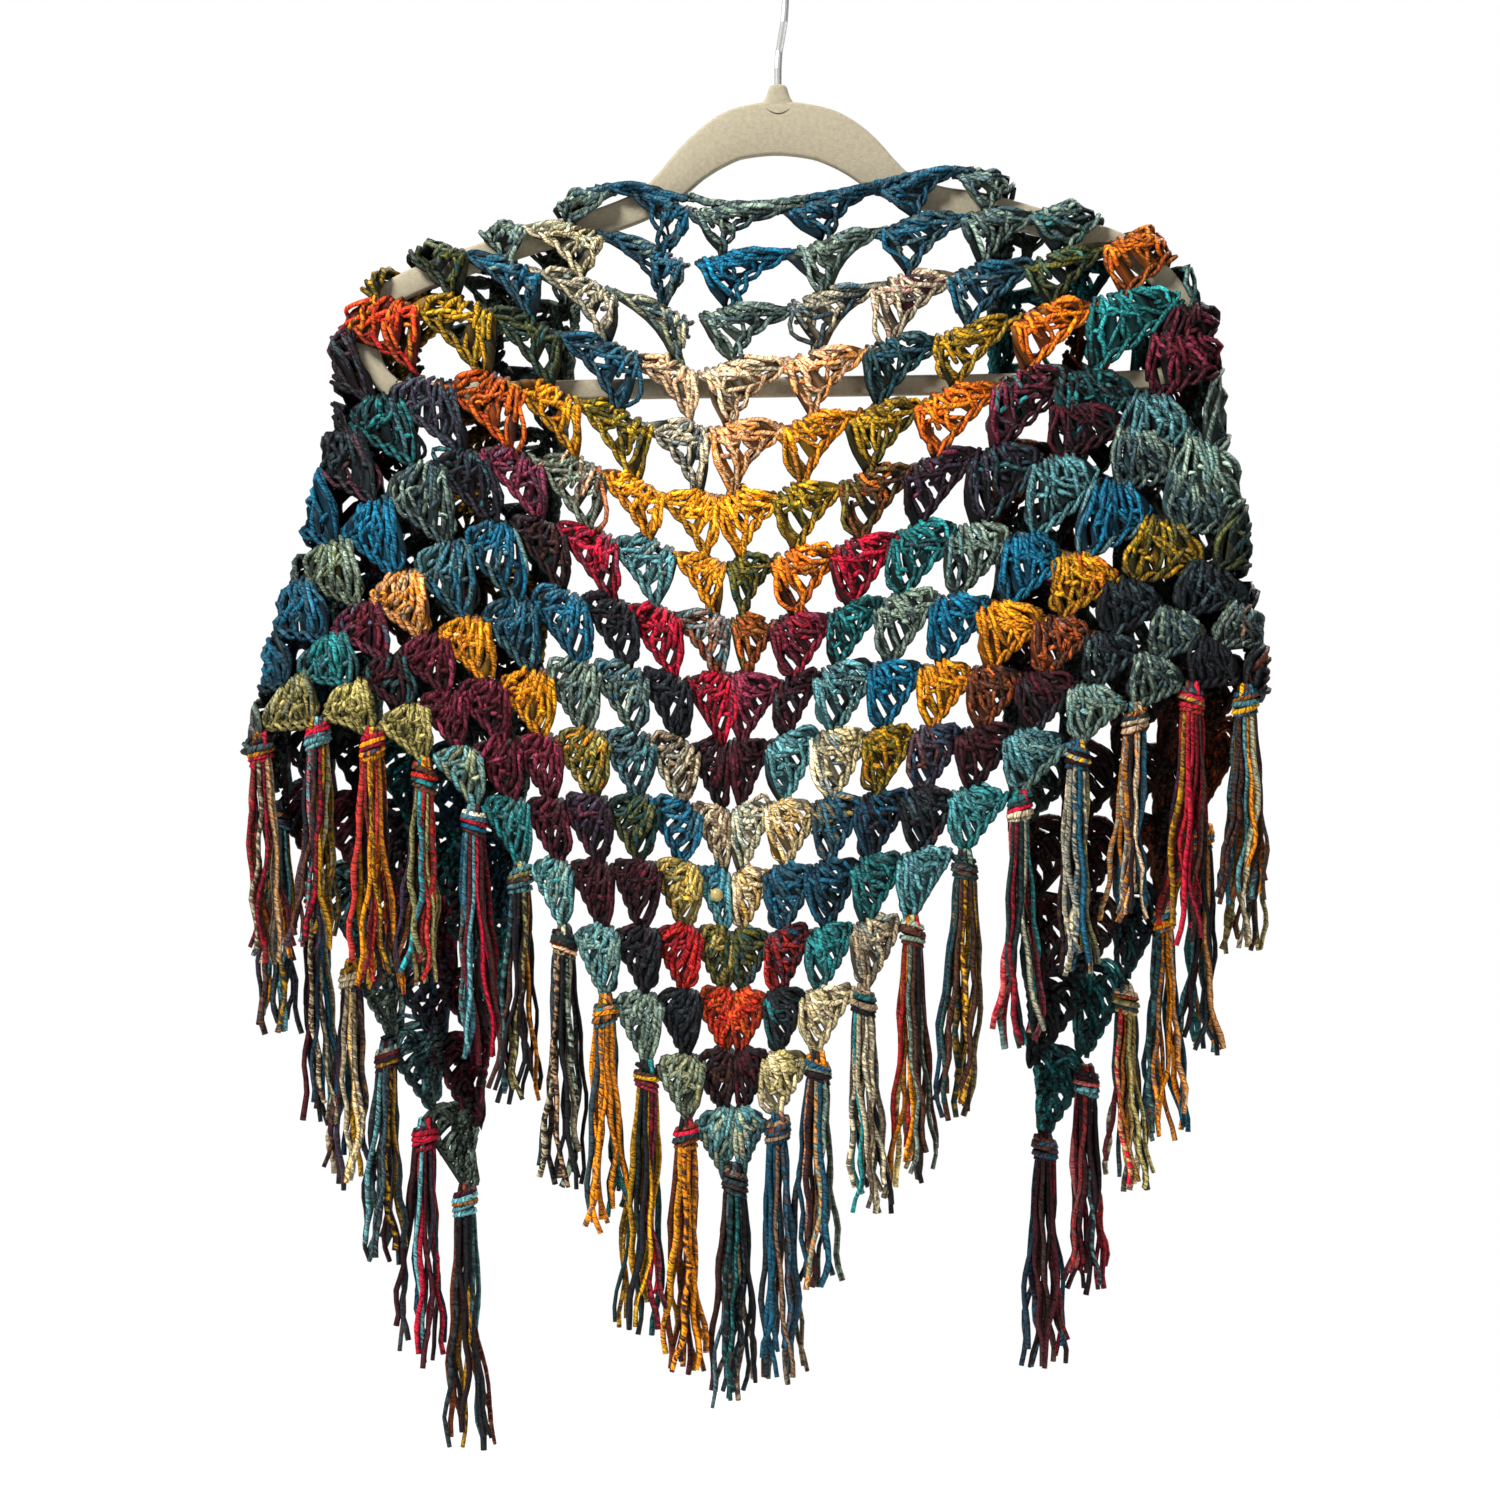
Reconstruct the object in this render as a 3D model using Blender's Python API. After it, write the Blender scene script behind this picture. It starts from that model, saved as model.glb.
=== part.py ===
"""A crochet shawl with a tasselled edge, hung over a flat velvet hanger with a wire hook.

Metres, +Z up.  The origin is the inside top of the hook, where a rail carries it, and the
front of the shawl faces -Y.  Tables are in millimetres and are scaled once, on the way out.

The shawl is a triangle worked in V-shaped rows from the middle of its long edge.  Each half
is a square lattice of clusters, counted i outward from the spine and j down from the long
edge, so V-row r holds the clusters with i + j = r.  The front hangs between the arms of the
hanger, and each outer part turns over its arm and hangs behind as a wing.
"""
import math
import random
from collections import namedtuple

import bmesh
import bpy
import numpy as np
from mathutils import Vector

MM = 0.001
ROWS = 16              # V-rows of clusters
WALL = 4.0             # thickness of the crochet
PUFF = 2.2             # how far a cluster stands out of the wall
SEAM = 0.3             # gap between neighbouring pieces

TURN_RADIUS = 5.5      # bend of the cloth over a hanger arm
HEM_TURN_RADIUS = 13.0  # bend of the side at the tasselled edge
TURN_OPENS_AT = 9      # V-row at the shoulder, from which the side bend widens
SETTLE = 3.0           # how far the cloth hangs clear of the arm's plane
SETTLE_REACH = 70.0
WAVE = 8.0             # depth of the soft folds at the tasselled edge
FRONT_WAVES = 2
WING_WAVES = 1.5

# Where each V-row boundary leaves the spine, stands a third and two thirds of the way over
# the front, and turns over the arm or down the side, as (x, z).  fold_at counts clusters
# from the spine to that turn.
Section = namedtuple("Section", "row fold_at spine third two_thirds fold")
RIGHT = [
    Section(0, 1.65, (-45.3, -133.3), (-9.5, -118.6), (22.1, -102.8), (48.5, -87.0)),
    Section(4, 3.65, (-37.9, -251.4), (22.1, -205.5), (77.5, -158.1), (127.2, -126.0)),
    Section(6, 4.65, (-27.9, -322.0), (25.3, -261.9), (93.3, -197.6), (170.1, -138.9)),
    Section(8, 5.65, (-23.2, -381.0), (29.5, -318.8), (108.6, -236.1), (207.4, -157.6)),
    Section(9, 6.15, (-24.0, -415.8), (32.7, -346.2), (110.7, -259.3), (225.2, -180.6)),
    Section(10, 6.70, (-24.8, -452.2), (31.6, -370.0), (115.9, -287.2), (229.0, -209.0)),
    Section(12, 7.90, (-24.2, -516.5), (37.9, -425.3), (122.3, -337.3), (242.4, -289.9)),
    Section(16, 10.5, (-22.7, -637.7), (51.1, -527.0), (150.2, -415.8), (256.6, -387.3)),
]
LEFT = [
    Section(0, 0.60, (-45.3, -133.3), (-54.0, -130.0), (-63.0, -126.0), (-72.4, -121.6)),
    Section(2, 1.60, (-46.4, -192.9), (-76.0, -168.0), (-103.0, -146.0), (-121.1, -136.2)),
    Section(4, 2.60, (-37.9, -251.4), (-74.3, -216.1), (-118.6, -177.1), (-158.1, -148.8)),
    Section(6, 3.65, (-27.9, -322.0), (-75.9, -273.0), (-129.1, -213.4), (-194.8, -159.2)),
    Section(7, 4.30, (-25.5, -352.0), (-73.8, -296.2), (-136.5, -232.9), (-216.2, -172.4)),
    Section(8, 4.90, (-23.2, -381.0), (-76.9, -324.1), (-142.3, -255.6), (-230.0, -201.0)),
    Section(10, 6.20, (-24.8, -452.2), (-74.8, -376.8), (-146.5, -297.8), (-233.5, -247.7)),
    Section(12, 7.50, (-24.2, -516.5), (-80.6, -429.5), (-156.0, -351.5), (-248.7, -303.0)),
    Section(16, 10.3, (-22.7, -637.7), (-94.0, -534.5), (-176.0, -428.0), (-278.3, -412.6)),
]
# A wing's long edge drops from where it crosses the arm to the shawl's corner.
Wing = namedtuple("Wing", "corner_x corner_z bow")
RIGHT_WING = Wing(142.8, -625.5, -7.0)
LEFT_WING = Wing(-167.1, -653.5, 5.0)

# The hanger's closed band, clockwise from the neck: its middle and its width.
Band = namedtuple("Band", "x z width")
HANGER = [
    Band(0.0, -89.0, 36.0),
    Band(38.0, -99.0, 30.0),
    Band(58.0, -121.0, 19.0),
    Band(84.0, -128.5, 14.5),
    Band(109.6, -132.8, 15.4),
    Band(151.2, -144.9, 14.6),
    Band(182.3, -155.0, 14.2),
    Band(209.0, -178.0, 13.0),
    Band(217.5, -203.0, 12.0),
    Band(206.0, -220.5, 11.0),
    Band(184.0, -224.5, 11.0),
    Band(90.0, -226.5, 11.0),
    Band(-60.0, -228.5, 11.0),
    Band(-184.0, -230.5, 11.0),
    Band(-206.0, -226.0, 11.0),
    Band(-216.4, -207.0, 12.0),
    Band(-213.0, -189.5, 13.0),
    Band(-194.5, -173.4, 14.0),
    Band(-134.9, -152.3, 14.4),
    Band(-93.3, -140.7, 15.0),
    Band(-56.0, -124.0, 18.0),
    Band(-36.0, -99.0, 30.0),
]
HANGER_THICKNESS = 5.0
HANGER_EDGE = 0.9      # chamfer along the band's edges

WIRE = 1.9             # radius of the hook's wire
HOOK_BEND = 20.0       # middle of the wire, round the rail
HOOK_TURN = math.radians(78)   # the hook's plane, turned away from the hanger's
# The stem, from its foot on the neck, as distances along the hook's plane and heights.
STEM = [(0.0, -70.6), (0.0, -60.0), (2.5, -51.0), (9.0, -42.0), (16.0, -32.5)]
HOOK_START = math.radians(-12)
HOOK_SWEEP = math.radians(212)
HOOK_STEPS = 14

STRANDS = 7
Tassel = namedtuple("Tassel", "length lean_x lean_y")
TASSEL_NECK = 1.6      # radius of the knot's top
TASSEL_KNOT = 5.0      # radius of the knot
TASSEL_KNOT_LENGTH = 15.0
TASSEL_GAP = 0.4       # from the edge of the cloth to the knot
STRAND_SPREAD = (1.35, 1.75)   # how far the strands stand out, halfway and at their ends
TASSEL_LENGTHS = (118.0, 142.0)

YARN_COLOURS = {
    "maroon": (0.10, 0.015, 0.03),
    "teal": (0.05, 0.17, 0.19),
    "gold": (0.50, 0.27, 0.03),
    "sage": (0.28, 0.33, 0.22),
}


def clear_scene():
    for old in list(bpy.data.objects):
        bpy.data.objects.remove(old, do_unlink=True)


def finish(name, colour, roughness, metallic=0.0):
    """A plain material for one piece."""
    material = bpy.data.materials.new(name)
    material.use_nodes = True
    shader = material.node_tree.nodes["Principled BSDF"]
    shader.inputs["Base Color"].default_value = (*colour, 1.0)
    shader.inputs["Roughness"].default_value = roughness
    shader.inputs["Metallic"].default_value = metallic
    return material


def add_object(name, points, faces, material, smooth=False):
    """Makes an object from points in millimetres, its faces turned outward."""
    mesh = bpy.data.meshes.new(name)
    mesh.from_pydata([Vector(p) * MM for p in points], [], faces)
    form = bmesh.new()
    form.from_mesh(mesh)
    bmesh.ops.recalc_face_normals(form, faces=form.faces)
    form.to_mesh(mesh)
    form.free()
    if smooth:
        mesh.shade_smooth()
    mesh.materials.append(material)
    thing = bpy.data.objects.new(name, mesh)
    bpy.context.collection.objects.link(thing)
    return thing


def tube_faces(rings, around, closed):
    """Faces between rings of points, capped at both ends unless the rings close up."""
    faces = []
    for ring in range(rings if closed else rings - 1):
        here = ring * around
        there = (ring + 1) % rings * around
        for k in range(around):
            n = (k + 1) % around
            faces.append((here + k, here + n, there + n, there + k))
    if not closed:
        last = (rings - 1) * around
        faces.append(tuple(reversed(range(around))))
        faces.append(tuple(range(last, last + around)))
    return faces


class Half:
    """The drape of one half of the shawl, from lattice places to points in space."""

    def __init__(self, sections, wing):
        self.rows = np.array([line.row for line in sections], float)
        self.table = np.array([
            (line.fold_at, *line.spine, *line.third, *line.two_thirds, *line.fold)
            for line in sections])
        self.slopes = np.gradient(self.table, self.rows, axis=0)
        self.crossing = self.find_crossing()
        self.corner = np.array([wing.corner_x, wing.corner_z])
        self.bow = wing.bow

    def section(self, row):
        """The table's line at any V-row, on a smooth curve through its lines."""
        row = min(max(row, 0.0), float(ROWS))
        k = min(int(np.searchsorted(self.rows, row, side="right")) - 1, len(self.rows) - 2)
        span = self.rows[k + 1] - self.rows[k]
        t = (row - self.rows[k]) / span
        line = (
            (1 + 2 * t) * (1 - t) ** 2 * self.table[k]
            + t * (1 - t) ** 2 * span * self.slopes[k]
            + t * t * (3 - 2 * t) * self.table[k + 1]
            - t * t * (1 - t) * span * self.slopes[k + 1])
        return line[0], line[1:3], line[3:5], line[5:7], line[7:9]

    def find_crossing(self):
        """The V-row whose end on the long edge lies right on the arm."""
        low, high = 0.0, float(ROWS)
        for _ in range(40):
            row = (low + high) / 2
            if row < self.section(row)[0]:
                low = row
            else:
                high = row
        return high

    def turn_distance(self, i, j):
        """How far beyond the turn a lattice place lies, counted across the V-row."""
        return i - j - (2 * self.section(i + j)[0] - (i + j))

    def edge(self, row):
        """The wing's long edge at a V-row."""
        way = (row - self.crossing) / (ROWS - self.crossing)
        start = self.section(self.crossing)[4]
        point = start + (self.corner - start) * way
        return point + np.array([self.bow * math.sin(math.pi * way), 0.0])

    def place(self, row, beyond):
        """The middle of the wall at a V-row and at a distance beyond its turn."""
        fold_at, spine, third, two_thirds, fold = self.section(row)
        opened = max(0.0, row - TURN_OPENS_AT) / (ROWS - TURN_OPENS_AT)
        radius = TURN_RADIUS + (HEM_TURN_RADIUS - TURN_RADIUS) * opened
        if beyond <= 0:
            t = 1 + beyond / (2 * fold_at)
            flat = (
                -4.5 * (t - 1 / 3) * (t - 2 / 3) * (t - 1) * spine
                + 13.5 * t * (t - 2 / 3) * (t - 1) * third
                - 13.5 * t * (t - 1 / 3) * (t - 1) * two_thirds
                + 4.5 * t * (t - 1 / 3) * (t - 2 / 3) * fold)
            waves, side = FRONT_WAVES * t, -1
        else:
            t = min(1.0, beyond / 2 / max(row - fold_at, 1e-6))
            flat = fold + (self.edge(row) - fold) * t
            waves, side = WING_WAVES * t, 1
        away = float(np.hypot(*(flat - fold)))
        bend = radius * math.sqrt(1 - (1 - min(away / radius, 1.0)) ** 2)
        settle = SETTLE * (1 - math.exp(-away / SETTLE_REACH))
        wave = WAVE * (row / ROWS) ** 2 * (1 - math.cos(2 * math.pi * waves)) / 2
        return Vector((flat[0], side * (bend + settle + wave), flat[1]))


# Places inside a lattice cell: the cluster fills the corner by the spine and the long edge,
# and the gap fills the corner across from it.
CLUSTER_MIDDLE = (0.31, 0.31)
GAP = [(0.53, 0.53), (0.93, 0.21), (0.95, 0.95), (0.21, 0.93)]
TURN_CUTS = (-0.42, -0.12, 0.0, 0.12, 0.42)    # extra points where the cloth turns
GAP_CLEAR_OF_TURN = 1.2
WELD_NEAR_TURN = 0.07


def lattice_half(half):
    """One half of the shawl laid out flat: V-row, distance beyond the turn, and puff."""
    form = bmesh.new()
    corners = {}

    def lay(i, j, puff=0.0):
        return form.verts.new((i + j, half.turn_distance(i, j), puff))

    def corner(i, j):
        if (i, j) not in corners:
            corners[i, j] = lay(i, j)
        return corners[i, j]

    for row in range(ROWS):
        for i in range(row + 1):
            j = row - i
            a, b, d = corner(i, j), corner(i + 1, j), corner(i, j + 1)
            m = lay(i + CLUSTER_MIDDLE[0], j + CLUSTER_MIDDLE[1], PUFF)
            beyond = half.turn_distance(i + 0.5, j + 0.5)
            if row == ROWS - 1:
                fan = [a, b, d]
            elif abs(beyond) < GAP_CLEAR_OF_TURN:
                fan = [a, b, d]
                form.faces.new((b, corner(i + 1, j + 1), d))
            else:
                c = corner(i + 1, j + 1)
                inner, right, across, below = [lay(i + u, j + v) for u, v in GAP]
                fan = [a, b, right, inner, below, d]
                form.faces.new((b, c, across, right))
                form.faces.new((c, d, below, across))
            for k, start in enumerate(fan):
                form.faces.new((start, fan[(k + 1) % len(fan)], m))
    for cut in TURN_CUTS:
        whole = form.verts[:] + form.edges[:] + form.faces[:]
        bmesh.ops.bisect_plane(form, geom=whole, dist=1e-5,
                               plane_co=(0, cut, 0), plane_no=(0, 1, 0))
    near = [v for v in form.verts if abs(v.co.y) < TURN_CUTS[-1] + WELD_NEAR_TURN]
    bmesh.ops.remove_doubles(form, verts=near, dist=WELD_NEAR_TURN)
    return form


def drape_shawl():
    """Hangs both halves in space as one open surface, with what each point needs."""
    whole = bmesh.new()
    puff = whole.verts.layers.float.new("puff")
    wing = whole.faces.layers.int.new("wing")
    spine = {}
    for side, half in ((1, HALVES["right"]), (-1, HALVES["left"])):
        flat = lattice_half(half)
        copies = {}
        for vert in flat.verts:
            row, beyond, raised = vert.co
            point = half.place(row, beyond)
            on_spine = abs(beyond + 2 * half.section(row)[0]) < 1e-4
            key = round(row, 3)
            if on_spine and key in spine:
                copies[vert] = spine[key]
                continue
            copies[vert] = whole.verts.new(point)
            copies[vert][puff] = raised
            if on_spine:
                spine[key] = copies[vert]
        for face in flat.faces:
            new = whole.faces.new([copies[v] for v in face.verts])
            behind = sum(v.co.y for v in face.verts) / len(face.verts) > 0
            new[wing] = side if behind else 0
        flat.free()
    bmesh.ops.triangulate(whole, faces=whole.faces[:], quad_method="SHORT_EDGE")
    bmesh.ops.recalc_face_normals(whole, faces=whole.faces[:])
    whole.faces.ensure_lookup_table()
    front = [face for face in whole.faces if face[wing] == 0]
    if sum(face.normal.y * face.calc_area() for face in front) > 0:
        bmesh.ops.reverse_faces(whole, faces=whole.faces[:])
    whole.normal_update()
    return whole


def wall(name, surface, which, colour):
    """Gives one stretch of the draped surface its thickness, raised at each cluster."""
    puff = surface.verts.layers.float["puff"]
    wing = surface.faces.layers.int["wing"]
    faces = [face for face in surface.faces if face[wing] == which]
    numbers = {}
    points = []
    step = 1 if which else -1
    for face in faces:
        for vert in face.verts:
            if vert in numbers:
                continue
            numbers[vert] = len(points)
            shared = len({near[wing] for near in vert.link_faces}) > 1
            middle = vert.co + Vector((0, step * SEAM / 2 if shared else 0, 0))
            points.append(middle + vert.normal * (WALL / 2 + vert[puff]))
            points.append(middle - vert.normal * (WALL / 2))
    shell = []
    for face in faces:
        ring = [numbers[vert] for vert in face.verts]
        shell.append(tuple(ring))
        shell.append(tuple(n + 1 for n in reversed(ring)))
        for loop in face.loops:
            kin = [f for f in loop.edge.link_faces if f[wing] == which]
            if len(kin) == 1:
                a, b = numbers[loop.vert], numbers[loop.link_loop_next.vert]
                shell.append((b, a, a + 1, b + 1))
    return add_object(name, points, shell, finish(name, colour, 0.9))


def make_hanger():
    """The flat band: eight points round each cross-section, swept along its closed line."""
    middles = np.array([(line.x, line.z, line.width) for line in HANGER])
    count = len(middles)
    stations = []
    for k in range(count):
        p0, p1, p2, p3 = (middles[(k + n) % count] for n in (-1, 0, 1, 2))
        for t in (0.0, 0.5):
            stations.append(0.5 * (
                2 * p1 + (p2 - p0) * t + (2 * p0 - 5 * p1 + 4 * p2 - p3) * t * t
                + (3 * p1 - 3 * p2 + p3 - p0) * t ** 3))
    points = []
    for k, (x, z, width) in enumerate(stations):
        before, after = stations[k - 1], stations[(k + 1) % len(stations)]
        along = Vector((after[0] - before[0], 0, after[1] - before[1])).normalized()
        out = Vector((-along.z, 0, along.x))
        half, deep, edge = width / 2, HANGER_THICKNESS / 2, HANGER_EDGE
        outline = [
            (half, -deep + edge), (half - edge, -deep), (edge - half, -deep),
            (-half, -deep + edge), (-half, deep - edge), (edge - half, deep),
            (half - edge, deep), (half, deep - edge)]
        points += [Vector((x, y, z)) + out * h for h, y in outline]
    velvet = finish("velvet", (0.62, 0.55, 0.45), 0.95)
    return add_object("hanger", points, tube_faces(len(stations), 8, True), velvet)


def make_hook():
    """The wire: up from the neck, out to one side and round over the rail."""
    path = list(STEM)
    for step in range(HOOK_STEPS + 1):
        angle = HOOK_START + HOOK_SWEEP * step / HOOK_STEPS
        path.append((HOOK_BEND * math.cos(angle), WIRE - HOOK_BEND + HOOK_BEND * math.sin(angle)))
    across = Vector((math.cos(HOOK_TURN), math.sin(HOOK_TURN), 0))
    sideways = Vector((-math.sin(HOOK_TURN), math.cos(HOOK_TURN), 0))
    line = [across * h + Vector((0, 0, z)) for h, z in path]
    around = 10
    points = []
    for k, point in enumerate(line):
        along = (line[min(k + 1, len(line) - 1)] - line[max(k - 1, 0)]).normalized()
        over = along.cross(sideways).normalized()
        for n in range(around):
            angle = 2 * math.pi * n / around
            points.append(point + WIRE * (over * math.cos(angle) + sideways * math.sin(angle)))
    steel = finish("steel", (0.6, 0.6, 0.62), 0.25, 1.0)
    return add_object("hook", points, tube_faces(len(line), around, False), steel, smooth=True)


def make_tassel(name, top, tassel, colour, rng):
    """A knot whose underside splits into strands, each on its own part of it."""
    rings = [(TASSEL_NECK, 0.0), (TASSEL_KNOT, 0.6), (TASSEL_KNOT * 1.18, 1.0)]
    points = []
    faces = [tuple(range(STRANDS))]
    spin = rng.uniform(0, 2 * math.pi)

    def lean(down):
        return Vector((tassel.lean_x, tassel.lean_y, 0)) * (down / tassel.length) ** 1.5

    for radius, way in rings:
        down = TASSEL_KNOT_LENGTH * way
        for k in range(STRANDS):
            angle = spin + 2 * math.pi * k / STRANDS
            round_it = Vector((math.cos(angle), math.sin(angle), 0)) * radius
            points.append(top + round_it + lean(down) - Vector((0, 0, down)))
    for ring in range(len(rings) - 1):
        for k in range(STRANDS):
            n = (k + 1) % STRANDS
            a, b = ring * STRANDS, (ring + 1) * STRANDS
            faces.append((a + k, b + k, b + n, a + n))
    rim = (len(rings) - 1) * STRANDS
    centre = len(points)
    under = top + lean(TASSEL_KNOT_LENGTH) - Vector((0, 0, TASSEL_KNOT_LENGTH))
    points.append(under)
    for k in range(STRANDS):
        sector = [centre, rim + (k + 1) % STRANDS, rim + k]
        middle = sum((points[n] for n in sector), Vector()) / 3
        arms = [(points[n] - middle) * 0.78 for n in sector]
        length = tassel.length * rng.uniform(0.88, 1.0)
        stops = [TASSEL_KNOT_LENGTH, (TASSEL_KNOT_LENGTH + length) / 2, length]
        spreads = [1.0, *STRAND_SPREAD]
        last = sector
        for stop, spread in zip(stops, spreads):
            centre_here = top + lean(stop) - Vector((0, 0, stop)) + (middle - under) * spread
            first = len(points)
            points += [centre_here + arm for arm in arms]
            ring = [first, first + 1, first + 2]
            for m in range(3):
                n = (m + 1) % 3
                faces.append((last[m], last[n], ring[n], ring[m]))
            last = ring
        faces.append(tuple(last))
    return add_object(name, points, faces, finish(name, colour, 0.9))


def make_tassels():
    """One tassel under each joint of the last row, and one at the point of the V."""
    rng = random.Random(16)
    colours = list(YARN_COLOURS.values())
    for side, half in HALVES.items():
        for i in range(0 if side == "right" else 1, ROWS + 1):
            here = half.place(ROWS, half.turn_distance(i, ROWS - i))
            around = [half.place(ROWS, half.turn_distance(n, ROWS - n))
                      for n in (max(i - 1, 0), min(i + 1, ROWS))]
            along = around[1] - around[0]
            outward = Vector((along.z, 0, -along.x)).normalized()
            if outward.z > 0:
                outward = -outward
            top = here + outward * (TASSEL_GAP + TASSEL_NECK * abs(outward.x))
            if i in (0, ROWS):
                top = here - Vector((0, 0, TASSEL_GAP))
            tassel = Tassel(rng.uniform(*TASSEL_LENGTHS), rng.uniform(-5, 5), rng.uniform(-2, 2))
            name = "tassel_point" if i == 0 else f"tassel_{side}_{i:02d}"
            make_tassel(name, top, tassel, rng.choice(colours), rng)


HALVES = {"right": Half(RIGHT, RIGHT_WING), "left": Half(LEFT, LEFT_WING)}

clear_scene()
make_hanger()
make_hook()
shawl = drape_shawl()
wall("shawl_front", shawl, 0, YARN_COLOURS["teal"])
wall("wing_right", shawl, 1, YARN_COLOURS["gold"])
wall("wing_left", shawl, -1, YARN_COLOURS["sage"])
shawl.free()
make_tassels()
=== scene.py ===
# %% [markdown]
# # A crochet shawl on a velvet hanger
# This lesson dresses a plain model of a shawl with real stitches. The frame holds the shawl as
# walls with holes in them, a hanger, a hook and 33 tassels. Here every one of them gets the
# form and finish that the eye meets: plied yarn, flocked velvet and bright wire.

# %% Load the frame
import math

import bpy
import numpy as np
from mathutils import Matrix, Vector


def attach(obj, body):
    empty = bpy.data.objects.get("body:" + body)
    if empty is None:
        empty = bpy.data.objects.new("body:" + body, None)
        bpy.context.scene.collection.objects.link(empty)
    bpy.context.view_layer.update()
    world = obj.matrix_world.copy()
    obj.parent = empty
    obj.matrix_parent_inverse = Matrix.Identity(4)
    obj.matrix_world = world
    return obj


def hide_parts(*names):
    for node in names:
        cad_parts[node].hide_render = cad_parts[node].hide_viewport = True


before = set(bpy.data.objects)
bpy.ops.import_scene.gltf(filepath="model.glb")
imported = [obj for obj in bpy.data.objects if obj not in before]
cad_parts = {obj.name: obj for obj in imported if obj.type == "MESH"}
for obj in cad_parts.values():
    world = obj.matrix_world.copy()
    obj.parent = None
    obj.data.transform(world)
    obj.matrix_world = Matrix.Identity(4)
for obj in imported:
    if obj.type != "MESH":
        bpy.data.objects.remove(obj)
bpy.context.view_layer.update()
rng = np.random.default_rng(16)
MM = 0.001
print("frame nodes:", len(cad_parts))

# %% [markdown]
# ## The drape
# A granny shawl is worked in V-shaped rows from the middle of its long edge, so each half is a
# square lattice. A stitch has a place (i, j) on it: i clusters out from the spine and j clusters
# down from the long edge. One function turns such a place into a point in space, and every
# yarn below is laid with it. The table lists where each V-row leaves the spine, passes a third
# and two thirds of the front, and turns over the hanger's arm or down the side.

# %% Sections of the drape
# Lengths are in mm, and rows count from the middle of the long edge.
ROWS = 16
TURN_RADIUS = 5.5
HEM_TURN_RADIUS = 13.0
TURN_OPENS_AT = 9
SETTLE = 3.0
SETTLE_REACH = 70.0
WAVE = 8.0
FRONT_WAVES = 2
WING_WAVES = 1.5
COLUMNS = "row, fold_at, spine x z, third x z, two_thirds x z, fold x z"
RIGHT = [
    (0, 1.65, -45.3, -133.3, -9.5, -118.6, 22.1, -102.8, 48.5, -87.0),
    (4, 3.65, -37.9, -251.4, 22.1, -205.5, 77.5, -158.1, 127.2, -126.0),
    (6, 4.65, -27.9, -322.0, 25.3, -261.9, 93.3, -197.6, 170.1, -138.9),
    (8, 5.65, -23.2, -381.0, 29.5, -318.8, 108.6, -236.1, 207.4, -157.6),
    (9, 6.15, -24.0, -415.8, 32.7, -346.2, 110.7, -259.3, 225.2, -180.6),
    (10, 6.70, -24.8, -452.2, 31.6, -370.0, 115.9, -287.2, 229.0, -209.0),
    (12, 7.90, -24.2, -516.5, 37.9, -425.3, 122.3, -337.3, 242.4, -289.9),
    (16, 10.5, -22.7, -637.7, 51.1, -527.0, 150.2, -415.8, 256.6, -387.3),
]
LEFT = [
    (0, 0.60, -45.3, -133.3, -54.0, -130.0, -63.0, -126.0, -72.4, -121.6),
    (2, 1.60, -46.4, -192.9, -76.0, -168.0, -103.0, -146.0, -121.1, -136.2),
    (4, 2.60, -37.9, -251.4, -74.3, -216.1, -118.6, -177.1, -158.1, -148.8),
    (6, 3.65, -27.9, -322.0, -75.9, -273.0, -129.1, -213.4, -194.8, -159.2),
    (7, 4.30, -25.5, -352.0, -73.8, -296.2, -136.5, -232.9, -216.2, -172.4),
    (8, 4.90, -23.2, -381.0, -76.9, -324.1, -142.3, -255.6, -230.0, -201.0),
    (10, 6.20, -24.8, -452.2, -74.8, -376.8, -146.5, -297.8, -233.5, -247.7),
    (12, 7.50, -24.2, -516.5, -80.6, -429.5, -156.0, -351.5, -248.7, -303.0),
    (16, 10.3, -22.7, -637.7, -94.0, -534.5, -176.0, -428.0, -278.3, -412.6),
]
print("drape columns:", COLUMNS)


# %% Places on the shawl
# The top edge lifts a little at these places: x, z and rise.
PERKS = [(-72.0, -127.0, 9.5), (92.0, -122.0, 5.0)]
PERK_WIDE, PERK_TALL = 28.0, 20.0
WING_SET_AFTER = 0.4
OPENED_MOST = 1.1


def unit(vectors):
    """The same directions at length 1."""
    return vectors / np.maximum(np.linalg.norm(vectors, axis=-1, keepdims=True), 1e-12)


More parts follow.
